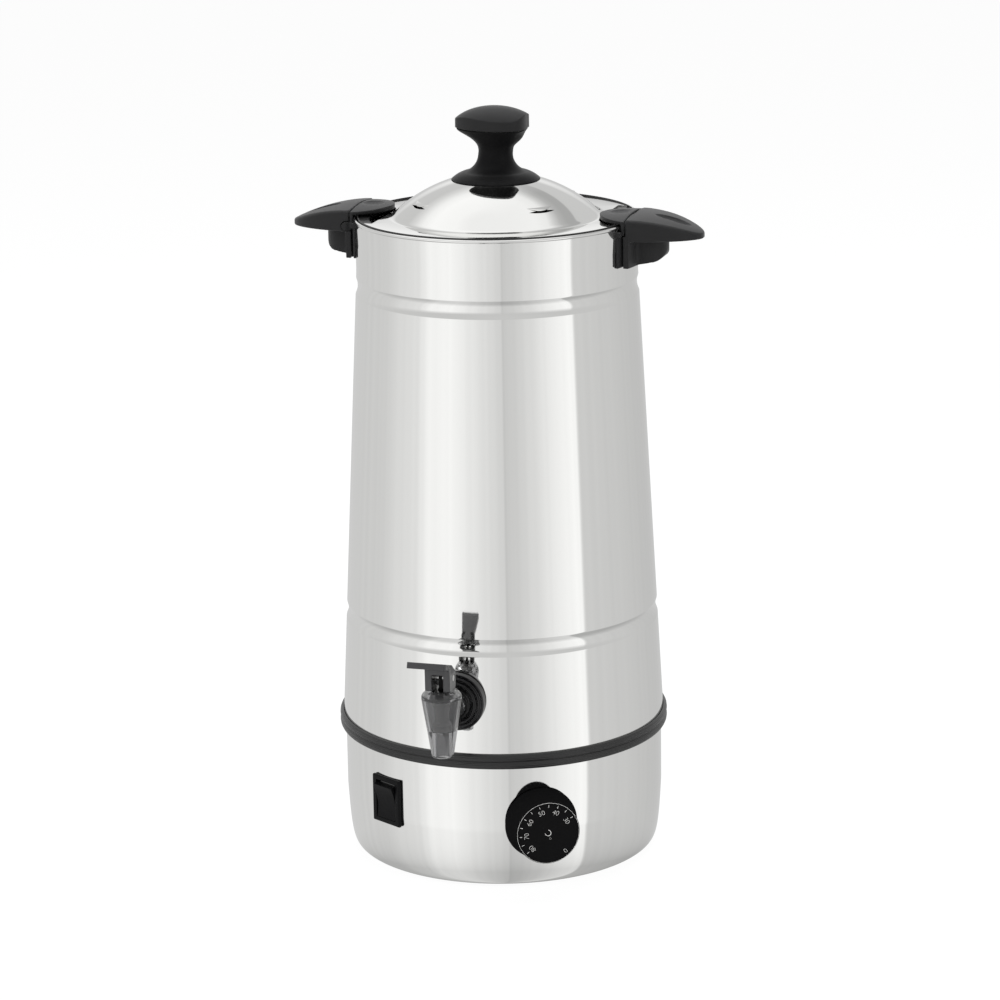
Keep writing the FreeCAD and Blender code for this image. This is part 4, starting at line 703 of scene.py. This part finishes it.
# %% Pot
POT_WALL = 1.0 * MM
NECK_R = 96.0 * MM
NECK_TALL = 36.2 * MM
BEAD_R = 1.2 * MM
BEAD_START, BEAD_STEP, BEAD_COUNT = -60, 20, 16
CHANNEL_HALF = 6.0 * MM
CHANNEL_DEEP = 1.3 * MM
CHANNEL_RINGS = 12
LOWER_CHANNEL_RISE = 75.7 * MM
UPPER_CHANNEL_DROP = 46.7 * MM
WALL_RINGS = 12
INSIDE_SHARE = 0.6
FLOOR_RISE = 5.5 * MM
FLOOR_THICK = 1.2 * MM
LIP_WIDE = 6.5 * MM
LIP_DROP = 5.4 * MM
pot_low, pot_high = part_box("vessel")
FOOT_R = pot_high.x
neck_z = pot_high.z - NECK_TALL
channels = (pot_low.z + LOWER_CHANNEL_RISE, pot_high.z - UPPER_CHANNEL_DROP)


def pot_r(z):
    """Outer radius of the pot at a height."""
    share = min((z - pot_low.z) / (neck_z - pot_low.z), 1.0)
    radius = FOOT_R + (NECK_R - FOOT_R) * share
    for middle in channels:
        away = abs(z - middle) / CHANNEL_HALF
        if away < 1.0:
            radius -= CHANNEL_DEEP * (1 - away ** 2)
    return radius


def pot_heights():
    """Heights of the wall's rings: close together in the channels, wide apart between them."""
    heights = [pot_low.z, pot_low.z + 8 * MM, neck_z - 1.5 * MM, neck_z + 1.5 * MM, neck_z + 18 * MM]
    for middle in channels:
        for k in range(-CHANNEL_RINGS - 2, CHANNEL_RINGS + 3):
            heights.append(middle + CHANNEL_HALF * 1.02 * k / CHANNEL_RINGS)
    gap = (channels[1] - channels[0]) / WALL_RINGS
    heights += [channels[0] + gap * k for k in range(1, WALL_RINGS)]
    heights += [pot_low.z + LOWER_CHANNEL_RISE * k / 4 for k in (1, 2, 3)]
    return sorted(heights)


def make_pot():
    heights = pot_heights()
    bead_z = pot_high.z - BEAD_R
    outer = [(pot_r(z), z) for z in heights]
    bead = [(NECK_R + BEAD_R * math.cos(a), bead_z + BEAD_R * math.sin(a))
            for a in (math.radians(BEAD_START + BEAD_STEP * k) for k in range(BEAD_COUNT))]
    lip_top = pot_high.z - LIP_DROP
    inside_r = NECK_R - POT_WALL
    inside = [(inside_r, bead_z - 1.6 * MM), (inside_r, lip_top), (inside_r - LIP_WIDE, lip_top),
              (inside_r - LIP_WIDE, lip_top - POT_WALL), (inside_r, lip_top - POT_WALL)]
    floor_low = pot_low.z + FLOOR_RISE
    floor_top = floor_low + FLOOR_THICK
    inside += [(pot_r(z) - POT_WALL, z) for z in reversed(heights) if floor_top < z < lip_top - 2 * MM]
    inside += [(pot_r(floor_top) - POT_WALL, floor_top), (0, floor_top), (0, floor_low),
               (pot_r(floor_low) - POT_WALL, floor_low), (FOOT_R - POT_WALL, pot_low.z)]
    return as_piece(spun(outer + bead + inside), "pot_sheet", "urn", "polished_steel", "vessel")


def satin_inside(piece):
    """Gives the faces of the pot's inside the duller finish."""
    piece.data.materials.append(FINISH["satin_steel"])
    count = 0
    for face in piece.data.polygons:
        middle = face.center
        inward = middle.xy.length < pot_r(middle.z) - INSIDE_SHARE * POT_WALL
        if inward and middle.z < pot_high.z - 2 * BEAD_R:
            face.material_index = 1
            count += 1
    print("inside faces", count)


satin_inside(make_pot())

# %% [markdown]
# ## Plinth
# The plinth is a deep-drawn shell whose lower corner is drawn in with a long soft curve. A round fillet
# would turn too early, so a cubic curve follows it, once outside and once inside the sheet.

# %% Plinth
PLINTH_WALL = 1.2 * MM
PLINTH_CORNER_R = 103.7 * MM
PLINTH_LIP_R = 97.0 * MM
STRAIGHT_FROM = 42.0 * MM
CORNER_PULL = (4.5 * MM, 1.5 * MM, 13 * MM)
MID_RING_RISE = 60 * MM
plinth_low, plinth_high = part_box("plinth_shell")
PLINTH_R = (plinth_high.x - plinth_low.x) / 2


def plinth_curve(inset, count=24):
    """From the underside round the lower corner to the straight wall, drawn in by inset."""
    low = plinth_low.z + inset
    out, short, rise = CORNER_PULL
    a = Vector((PLINTH_CORNER_R, low))
    b = Vector((PLINTH_CORNER_R + out, low))
    c = Vector((PLINTH_R - short - inset, low + rise))
    d = Vector((PLINTH_R - inset, plinth_low.z + STRAIGHT_FROM))
    for k in range(count + 1):
        t = k / count
        s = 1 - t
        yield tuple(a * s ** 3 + b * 3 * s * s * t + c * 3 * s * t * t + d * t ** 3)


def make_plinth():
    outer = list(plinth_curve(0)) + [(PLINTH_R, plinth_low.z + MID_RING_RISE), (PLINTH_R, plinth_high.z)]
    inner = list(plinth_curve(PLINTH_WALL)) + [(PLINTH_R - PLINTH_WALL, plinth_high.z)]
    lip = [(PLINTH_LIP_R, plinth_low.z + PLINTH_WALL), (PLINTH_LIP_R, plinth_low.z)]
    return as_piece(spun(outer + inner[::-1] + lip), "plinth_sheet", "urn", "polished_steel", "plinth_shell")


make_plinth()

# %% [markdown]
# ## Gasket
# A rubber ring closes the joint between plinth and pot. It has two soft ribs with fine ridges round
# them. The ridges could be bump only, but then the ring's outline would be smooth from the side, so a
# wave along its outer face shapes both.

# %% Gasket
GASKET_PLAY = 0.15 * MM
GASKET_IN = 5.4 * MM
GASKET_RINGS = 96
RIBS = 2
RIB_DEEP = 0.9 * MM
RIB_FULL = 0.6
RIDGES_PER_RIB = 4
RIDGE_DEEP = 0.22 * MM
gasket_low, gasket_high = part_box("plinth_gasket")


def ribbed_r(share):
    """Outer radius at a share of the gasket's height."""
    rib = abs(math.sin(math.pi * RIBS * share)) ** RIB_FULL
    ridge = 0.5 - 0.5 * math.cos(2 * math.pi * RIDGES_PER_RIB * RIBS * share)
    return gasket_high.x - RIB_DEEP * (1 - rib) - RIDGE_DEEP * ridge * rib


def make_gasket():
    low, high = gasket_low.z, gasket_high.z
    in_plinth = PLINTH_R - PLINTH_WALL - GASKET_PLAY
    on_plinth = PLINTH_R + GASKET_PLAY
    outline = [(in_plinth, low), (in_plinth, plinth_high.z), (on_plinth, plinth_high.z), (on_plinth, low)]
    for k in range(GASKET_RINGS + 1):
        share = k / GASKET_RINGS
        outline.append((ribbed_r(share), low + (high - low) * share))
    inner_r = FOOT_R - POT_WALL - 2 * GASKET_PLAY
    outline += [(FOOT_R + GASKET_PLAY, high), (FOOT_R + GASKET_PLAY, pot_low.z), (inner_r, pot_low.z),
                (inner_r, high), (PLINTH_R - GASKET_IN, high), (PLINTH_R - GASKET_IN, low)]
    return as_piece(spun(outline), "gasket_ribs", "urn", "gasket_rubber", "plinth_gasket", sharp=50.0)


make_gasket()

# %% [markdown]
# ## Lid sheet
# The lid is a spun dome with a flat flange. Two notches in the flange let it pass the handles' noses, and
# four slots let steam out. The dome is spun with its sheet's thickness, and the openings are cut out of
# it. The notch is wide on one side, for the turn that locks the lid, and fits the nose on the other.

# %% Lid outline
LID_SHEET = 1.0 * MM
LID_R = 93.7 * MM
LID_PROUD = 0.2 * MM
DOME_R = 103.5 * MM
DOME_FOOT_R = 71.5 * MM
DOME_FILLET = 2.6 * MM
FLANGE_EDGE = 0.4 * MM
LID_HOLE_R = 2.8 * MM
flange_z = pot_high.z + LID_PROUD
dome_z = flange_z - math.sqrt(DOME_R ** 2 - DOME_FOOT_R ** 2)


def on_dome(radius, r):
    return Vector((r, dome_z + math.sqrt(radius ** 2 - r ** 2)))


def dome_arc(radius, r_from, r_to, count=40):
    for k in range(count + 1):
        yield on_dome(radius, r_from + (r_to - r_from) * k / count)


def lid_outline():
    low = flange_z - LID_SHEET
    edge = FLANGE_EDGE
    inner_r = DOME_R - LID_SHEET
    rim = list(bent((LID_R - edge, low), (LID_R, low), (LID_R, low + edge), 3))
    rim += bent((LID_R, flange_z - edge), (LID_R, flange_z), (LID_R - edge, flange_z), 3)
    foot = (DOME_FOOT_R + DOME_FILLET, flange_z)
    outer = list(bent(foot, (DOME_FOOT_R, flange_z), on_dome(DOME_R, DOME_FOOT_R - DOME_FILLET)))
    outer += list(dome_arc(DOME_R, DOME_FOOT_R - DOME_FILLET, LID_HOLE_R))[1:]
    inner = list(dome_arc(inner_r, LID_HOLE_R, DOME_FOOT_R - DOME_FILLET - LID_SHEET))
    inner += list(bent(inner[-1], (DOME_FOOT_R - LID_SHEET, low), (foot[0] - LID_SHEET / 2, low)))[1:]
    return [tuple(v) for v in rim + outer + inner]


print("dome rises", round((dome_z + DOME_R - flange_z) / MM, 1), "mm over its flange")

# %% [markdown]
# ## Notches and slots
# Each opening has a flat outline that is extruded through the sheet. The slot is a lens, and the nose's
# side of a notch is a parabola through three of the nose's own points.

# %% Lid
NOTCH_LONG_END = 51.0 * MM
NOTCH_BELOW = 2 * MM
NOTCH_DEEP = 3 * MM
NOSE_TIP_X = 72.4 * MM
NOSE_TIP_HALF = 8.3 * MM
NOSE_TIP_ROUND = 1.5 * MM
NOSE_MID = (83.25 * MM, 22.2 * MM)
NOSE_SEAM = (96.3 * MM, 28.1 * MM)
SLIT_AT_R = 59.0 * MM
SLIT_LONG = 20.0 * MM
SLIT_TALL = 1.4 * MM
SLIT_REACH = 8 * MM
SLIT_AZIMUTHS = (-47.5, 47.5, 132.5, 227.5)


def lens(long, tall, count=10):
    """Pointed slot outline about the origin, in x and z."""
    for side in (1, -1):
        for k in range(count):
            along = 1 - 2 * k / count
            yield (side * along * long / 2, 0.0, side * (1 - along ** 2) * tall / 2)


def through(a, b, c, count=10):
    """Points on the parabola through three points, without the last."""
    a, b, c = Vector(a), Vector(b), Vector(c)
    return list(bent(a, 2 * b - (a + c) / 2, c, count))[:-1]


def notch_cutter(angle):
    """What one notch takes out: a wide slot on one side, the nose's own outline on the other."""
    mid_x, mid_y = NOSE_MID
    seam_x, seam_y = NOSE_SEAM
    edge = [(NOSE_TIP_X, 0.0)]
    edge += through((NOSE_TIP_X + NOSE_TIP_ROUND, -NOSE_TIP_HALF), (mid_x, -mid_y), (seam_x, -seam_y))
    edge += [(seam_x, -seam_y), (2 * LID_R, -seam_y), (2 * LID_R, NOTCH_LONG_END),
             (NOSE_TIP_X, NOTCH_LONG_END)]
    flat = [(x, y, flange_z - NOTCH_BELOW) for x, y in edge]
    return prism_of(flat, (0, 0, NOTCH_DEEP), Matrix.Rotation(angle, 4, "Z"))


def slit_cutter(azimuth):
    start = Matrix.Translation((0, -SLIT_AT_R - SLIT_REACH, on_dome(DOME_R, SLIT_AT_R).y))
    return prism_of(list(lens(SLIT_LONG, SLIT_TALL)), (0, 2 * SLIT_REACH, 0),
                    Matrix.Rotation(math.radians(azimuth), 4, "Z") @ start)


def make_lid():
    cutters = [slit_cutter(azimuth) for azimuth in SLIT_AZIMUTHS]
    cutters += [notch_cutter(angle) for angle in (0, math.pi)]
    return as_piece(carved(spun(lid_outline()), *cutters), "lid_sheet", "lid", "polished_steel", "lid_shell")


make_lid()

# %% [markdown]
# ## Louvre lips
# The sheet above each slot is pressed outwards, so that it catches the light. Pressing the spun dome
# itself would need a dense mesh all over. A small bent strip laid over each slot looks the same: a grid
# is wrapped on the dome, flush along its top and ends and proud at the slot, and given a thickness.

# %% Louvre lips
LIP_OUT = 0.9 * MM
LIP_TALL = 2.6 * MM
LIP_SHEET = 0.4 * MM
LIP_SUNK = 0.15 * MM
LIP_OVER_SLOT = 0.2
LIP_HALF_LONG = 0.53
LIP_SWELL = 1.5
LIP_GRID = (24, 8)


def make_louvres():
    bits = []
    top = on_dome(DOME_R, SLIT_AT_R).y + SLIT_TALL * LIP_OVER_SLOT + LIP_TALL
    for azimuth in SLIT_AZIMUTHS:
        bm = bmesh.new()
        bmesh.ops.create_grid(bm, x_segments=LIP_GRID[0], y_segments=LIP_GRID[1], size=1.0)
        for v in bm.verts:
            along, fall = v.co.x, (1 - v.co.y) / 2
            width = 1 - along ** 2
            z = top - LIP_TALL * fall * width
            r = math.sqrt(DOME_R ** 2 - (z - dome_z) ** 2)
            x = along * SLIT_LONG * LIP_HALF_LONG
            y = -math.sqrt(r ** 2 - x ** 2)
            out = Vector((x, y, z - dome_z)).normalized()
            bulge = width * math.sin(fall * math.pi / 2) ** LIP_SWELL
            v.co = Vector((x, y, z)) + out * (LIP_OUT * bulge - LIP_SUNK)
        bmesh.ops.recalc_face_normals(bm, faces=bm.faces)
        bmesh.ops.solidify(bm, geom=bm.faces[:], thickness=LIP_SHEET)
        bits.append(moved(bm, Matrix.Rotation(math.radians(azimuth), 4, "Z")))
    return as_piece(joined(bits), "louvre_lips", "lid", "polished_steel", sharp=50.0)


make_louvres()

# %% [markdown]
# ## Lid seal
# A soft ring lies on the pot's lip under the flange. Its outer edge stands up between lid and rim and
# shows there as a thin dark line. An L-shaped outline with rounded corners is spun.

# %% Lid seal
SEAL_WIDE = 8.0 * MM
SEAL_EDGE = 0.5 * MM
SEAL_PLAY = 0.05 * MM
SEAL_SOFT = 0.2 * MM
seal_low, seal_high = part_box("lid_seal")


def make_seal():
    outer, bore, soft = seal_high.x, seal_high.x - SEAL_WIDE, SEAL_SOFT
    top = flange_z - LID_SHEET - SEAL_PLAY
    outline = rounded([(bore, seal_low.z, soft), (outer, seal_low.z, soft), (outer, seal_high.z, soft),
                       (outer - SEAL_EDGE, seal_high.z, soft), (outer - SEAL_EDGE, top), (bore, top, soft)])
    return as_piece(spun(outline), "seal_ring", "lid_seal", "gasket_rubber", "lid_seal")


make_seal()

# %% [markdown]
# ## Lid knob
# Two mouldings meet in a dark parting line. Their outline isn't round, so it can't be spun: the working
# model's own lofted shape is kept and softened. The neck and the flare above it meet a little off
# centre, and a band there is smoothed many times, level only, until the waist runs through.

# %% Knob
KNOB_NECK_RISE = 14.3 * MM
KNOB_BLEND = 5.5 * MM
KNOB_BLEND_TIMES = 90
# the knob's base takes the darker copy of the matt black, which paints shade on its neck
knob_base = moulded("lid_knob_base", "lid", "knob_shaded_black", 0.40 * MM, 6)
softened_band(knob_base, dome_z + DOME_R + KNOB_NECK_RISE, KNOB_BLEND, KNOB_BLEND_TIMES)
moulded("lid_knob_cap", "lid", "matt_black_plastic", 0.35 * MM, 2)

# %% [markdown]
# ## Handles
# Each handle is a grip with a leg and a guard box, a nose that reaches over the lid, and a pad between
# leg and wall. They could be built anew from curves, but the working model's shapes are already right.
# The finer the voxels, the crisper the edge, so the slim nose gets the finest ones.

# %% Handles
HANDLE_VOXELS = (("grip", 0.50 * MM), ("nose", 0.42 * MM), ("pad", 0.45 * MM))
for side in ("left", "right"):
    for kind, voxel in HANDLE_VOXELS:
        moulded("handle_" + kind + "_" + side, "urn", "matt_black_plastic", voxel, 2)

# %% [markdown]
# ## Spout
# The spout is a smoky see-through cup that tapers downwards, with a branch to the wall. Light passes
# through it, so a solid cone would look like glass fruit: its real wall, seat, bore and outlet matter.
# The cup is spun, the branch is joined to it, and the hollows are cut out.

# %% Spout
SPOUT_TOP_R = 13.8 * MM
SPOUT_TIP_R = 7.4 * MM
SPOUT_WALL = 2.2 * MM
SPOUT_SHOULDER = 3.6 * MM
SPOUT_STEPS = 128
SPOUT_TIP_DROP = 27.5 * MM
BRANCH_R = 8.6 * MM
BORE_R = 5.0 * MM
BONNET_R = 7.5 * MM
OUTLET_R = 4.6 * MM
SEAT_DROP = 9.0 * MM
CUT_PAST = 1 * MM
spout_low, spout_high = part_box("tap_spout")


def spout_outline(tip, bend, top):
    """Outside of the cup: rounded tip, taper, and a shoulder with two soft corners."""
    crown = SPOUT_TOP_R - SPOUT_SHOULDER
    yield 0, tip
    yield from bent((SPOUT_TIP_R - 0.8 * MM, tip), (SPOUT_TIP_R, tip),
                    (SPOUT_TIP_R + 0.05 * MM, tip + 1 * MM), 5)
    yield from bent((SPOUT_TOP_R - 0.15 * MM, bend - 1 * MM), (SPOUT_TOP_R, bend + 0.5 * MM),
                    (SPOUT_TOP_R - 0.9 * MM, bend + 2 * MM), 6)
    yield from bent((crown + 0.6 * MM, top - 0.4 * MM), (crown + 0.2 * MM, top), (crown - 0.6 * MM, top), 4)
    yield 0, top


def make_spout():
    tip, top = spout_low.z, spout_high.z
    tap_z, axis_y = tip + SPOUT_TIP_DROP, spout_low.y + SPOUT_TOP_R
    bend = top - SPOUT_SHOULDER - 1 * MM
    seat = tap_z - SEAT_DROP
    slope = (SPOUT_TOP_R - SPOUT_TIP_R) / (bend - tip)
    seat_r = SPOUT_TIP_R + slope * (seat - tip) - SPOUT_WALL
    room = [(0, seat), (seat_r, seat), (SPOUT_TOP_R - SPOUT_WALL, bend - 1 * MM), (BONNET_R, top - 3 * MM),
            (BONNET_R, top + CUT_PAST), (0, top + CUT_PAST)]
    place = Matrix.Translation((0, axis_y, 0))
    cup = moved(spun([tuple(v) for v in spout_outline(tip, bend, top)], SPOUT_STEPS), place)
    end = (0, axis_y, tap_z)
    branch = rod(BRANCH_R, (0, spout_high.y, tap_z), end)
    chamber = moved(spun(room, SPOUT_STEPS), place)
    outlet = rod(OUTLET_R, (0, axis_y, tip - CUT_PAST), (0, axis_y, seat + CUT_PAST))
    bore = rod(BORE_R, (0, spout_high.y + CUT_PAST, tap_z), end)
    return as_piece(carved(cup, chamber, outlet, bore, joins=(branch,)), "spout_cup", "urn", "smoke_plastic",
                    "tap_spout", sharp=35.0)


make_spout()

# %% [markdown]
# ## Collar, bonnet, lever and stem
# The ringed collar on the wall and the bonnet over the cup are glossy black, the lever is dark grey, and
# the thin stem shows between the lever's feet. They are small, so their voxels are the finest.

# %% Tap mouldings
moulded("tap_shank", "urn", "collar_black", 0.30 * MM, 2)
moulded("tap_bonnet", "urn", "collar_black", 0.22 * MM, 2)
moulded("tap_lever", "tap_lever", "lever_plastic", 0.28 * MM, 3)
moulded("tap_stem", "tap_stem", "black_plastic", 0.20 * MM, 2)

# %% [markdown]
# ## Thermostat dial
# The knob is turned about its own axis, which points straight out of the plinth. It is drawn along +Z,
# where its outline is easy to write, and then laid over and turned to its place. The skirt is hollowed
# to a cone, and the face lies a little below its bevelled rim.

# %% Dial body
THERMO_AZIMUTH = math.radians(28.7)
DIAL_R = 25.0 * MM
DIAL_FACE_R = 21.6 * MM
DIAL_WALL = 2.0 * MM
DIAL_RIM = 0.35 * MM
DIAL_EDGE = 0.3 * MM
DIAL_STEPS = 160
HUB_R = 6.5 * MM
HUB_BACK = 2.4 * MM
SPINDLE_R = 3.0 * MM
dial_low, dial_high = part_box("thermostat_knob")
DIAL_Z = (dial_low.z + dial_high.z) / 2
DIAL_BACK = PLINTH_R + 0.4 * MM
DIAL_FACE = PLINTH_R + 22.0 * MM


def dial_place():
    """From a shape made along +Z about the axis to one that points out of the plinth."""
    turn = Matrix.Rotation(THERMO_AZIMUTH, 4, "Z") @ Matrix.Rotation(math.pi / 2, 4, "X")
    return Matrix.Translation((0, 0, DIAL_Z)) @ turn


def dial_outline():
    """Skirt, bevel, rim and face outside, then the hub and its spindle hole inside."""
    face, back, rim_r = DIAL_FACE, DIAL_BACK, DIAL_FACE_R
    yield from ((DIAL_R - DIAL_WALL, back), (DIAL_R - DIAL_EDGE, back), (DIAL_R, back + DIAL_EDGE))
    yield from bent((DIAL_R, back + 1.2 * MM), (rim_r + 0.9 * MM, back + 4.5 * MM),
                    (rim_r + 0.35 * MM, face - 1.0 * MM), 16)
    yield from bent((rim_r + 0.3 * MM, face - 0.9 * MM), (rim_r + 0.2 * MM, face),
                    (rim_r - 0.8 * MM, face), 6)
    yield from bent((rim_r - 1.4 * MM, face), (rim_r - 1.7 * MM, face),
                    (rim_r - 1.8 * MM, face - DIAL_RIM), 3)
    yield from ((0, face - DIAL_RIM), (0, face - 4 * MM), (SPINDLE_R, face - 4 * MM),
                (SPINDLE_R, back + HUB_BACK), (HUB_R, back + HUB_BACK), (HUB_R, face - 3 * MM),
                (rim_r - DIAL_WALL, face - 3 * MM))


def make_dial():
    bm = moved(spun([tuple(v) for v in dial_outline()], DIAL_STEPS), dial_place())
    return as_piece(bm, "dial_body", "dial", "dial_black", "thermostat_knob", sharp=40.0)


make_dial()

# %% [markdown]
# ## Painted highlight ring
# A highlight on the edge of the face shows as a thin pale line. Gloss alone would be too thin to see from a
# few
# steps away, so the highlight is painted: a fine pale ring of its own, let into the bevel.

# %% Dial painted highlight ring
HIGHLIGHT_RING_IN = 0.30 * MM
HIGHLIGHT_RING_DROP = 0.07 * MM
HIGHLIGHT_RING_HALF = 0.08 * MM


# pale ring of white print: a painted highlight along the edge of the face
def make_edge_line():
    middle, level, half = DIAL_FACE_R - HIGHLIGHT_RING_IN, DIAL_FACE - HIGHLIGHT_RING_DROP, HIGHLIGHT_RING_HALF
    outline = [(middle + x * half, level + z * half) for x, z in ((-1, -1), (1, -1), (1, 1), (-1, 1))]
    return as_piece(moved(spun(outline, DIAL_STEPS), dial_place()), "dial_painted_highlight_ring", "dial", "white_print")


make_edge_line()

# %% [markdown]
# ## Dial print
# The face carries numerals from 30 to 80, a zero, short ticks and a degree sign. A picture could be laid
# on the face, but it would blur close up. Each mark is a thin raised shape instead: text is turned into
# a mesh first, and then put in its place on the face.

# %% Dial print
PRINT_THICK = 0.05 * MM
NUMERAL_R = 15.0 * MM
NUMERAL_TALL = 3.4 * MM
CAP_SHARE = 0.70
THINNED = 0.026
TICK_R = 19.0 * MM
TICK_LONG = 1.8 * MM
TICK_WIDE = 0.30 * MM
# printed temperatures in degrees Celsius, and the angles in degrees where they stand on the face
COOLEST, HOTTEST, NUMERAL_STEP, TICK_STEP = 30, 80, 10, 5
COOLEST_AT = 59.3
TURN_PER_CELSIUS = -3.83
ZERO_AT = 139.0
ZERO_R = 18.0 * MM
UNIT_PLACE = (0.9 * MM, -1.2 * MM)
UNIT_TURN = math.radians(133.0)
UNIT_SHARE = 1.3


def on_face(angle, radius):
    """Place on the dial's face, angle clockwise from the top as seen from outside."""
    lift = DIAL_FACE - DIAL_RIM + PRINT_THICK / 2
    turn = Matrix.Rotation(math.radians(-angle), 4, "Z")
    return dial_place() @ turn @ Matrix.Translation((0, radius, lift))


def text_shape(words, tall):
    """Flat letters of a given height, centred on the origin and a little thick."""
    curve = bpy.data.curves.new("words", "FONT")
    curve.body = words
    curve.size = tall / CAP_SHARE
    curve.align_x = "CENTER"
    curve.align_y = "CENTER"
    curve.extrude = PRINT_THICK
    curve.offset = -THINNED * NUMERAL_TALL / CAP_SHARE
    helper = bpy.data.objects.new("words", curve)
    bpy.context.scene.collection.objects.link(helper)
    bpy.context.view_layer.update()
    mesh = bpy.data.meshes.new_from_object(helper.evaluated_get(bpy.context.evaluated_depsgraph_get()))
    bm = bmesh.new()
    bm.from_mesh(mesh)
    bpy.data.objects.remove(helper)
    bpy.data.curves.remove(curve)
    bpy.data.meshes.remove(mesh)
    low = [min(v.co[i] for v in bm.verts) for i in (0, 1)]
    high = [max(v.co[i] for v in bm.verts) for i in (0, 1)]
    return moved(bm, Matrix.Translation((-(low[0] + high[0]) / 2, -(low[1] + high[1]) / 2, 0)))


def dial_angle(celsius):
    return COOLEST_AT + TURN_PER_CELSIUS * (celsius - COOLEST)


def make_dial_print():
    bits = []
    for celsius in range(COOLEST, HOTTEST + 1, NUMERAL_STEP):
        numeral = text_shape(str(celsius), NUMERAL_TALL)
        bits.append(moved(numeral, on_face(dial_angle(celsius), NUMERAL_R)))
    bits.append(moved(text_shape("0", NUMERAL_TALL), on_face(ZERO_AT, ZERO_R)))
    half = Vector((TICK_WIDE / 2, TICK_LONG / 2, PRINT_THICK))
    for celsius in range(COOLEST, HOTTEST + 1, TICK_STEP):
        bits.append(block(-half, half, on_face(dial_angle(celsius), TICK_R)))
    unit = on_face(0, 0) @ Matrix.Translation((*UNIT_PLACE, 0)) @ Matrix.Rotation(UNIT_TURN, 4, "Z")
    bits.append(moved(text_shape("\u00b0C", NUMERAL_TALL * UNIT_SHARE), unit))
    return as_piece(joined(bits), "dial_print", "dial", "white_print")


make_dial_print()

# %% [markdown]
# ## Switch, cable gland and feet
# Small mouldings of simple shape. They could be left as they are, but a sharp edge never shines, and a
# real one does: each keeps its working-model form with rounded edges.

# %% Small mouldings
moulded("switch_frame", "urn", "black_plastic", 0.30 * MM, 3)
moulded("switch_rocker", "rocker", "black_plastic", 0.25 * MM, 3)
moulded("cable_gland", "urn", "black_plastic", 0.30 * MM, 3)
moulded("feet", "urn", "gasket_rubber", 0.45 * MM, 3)
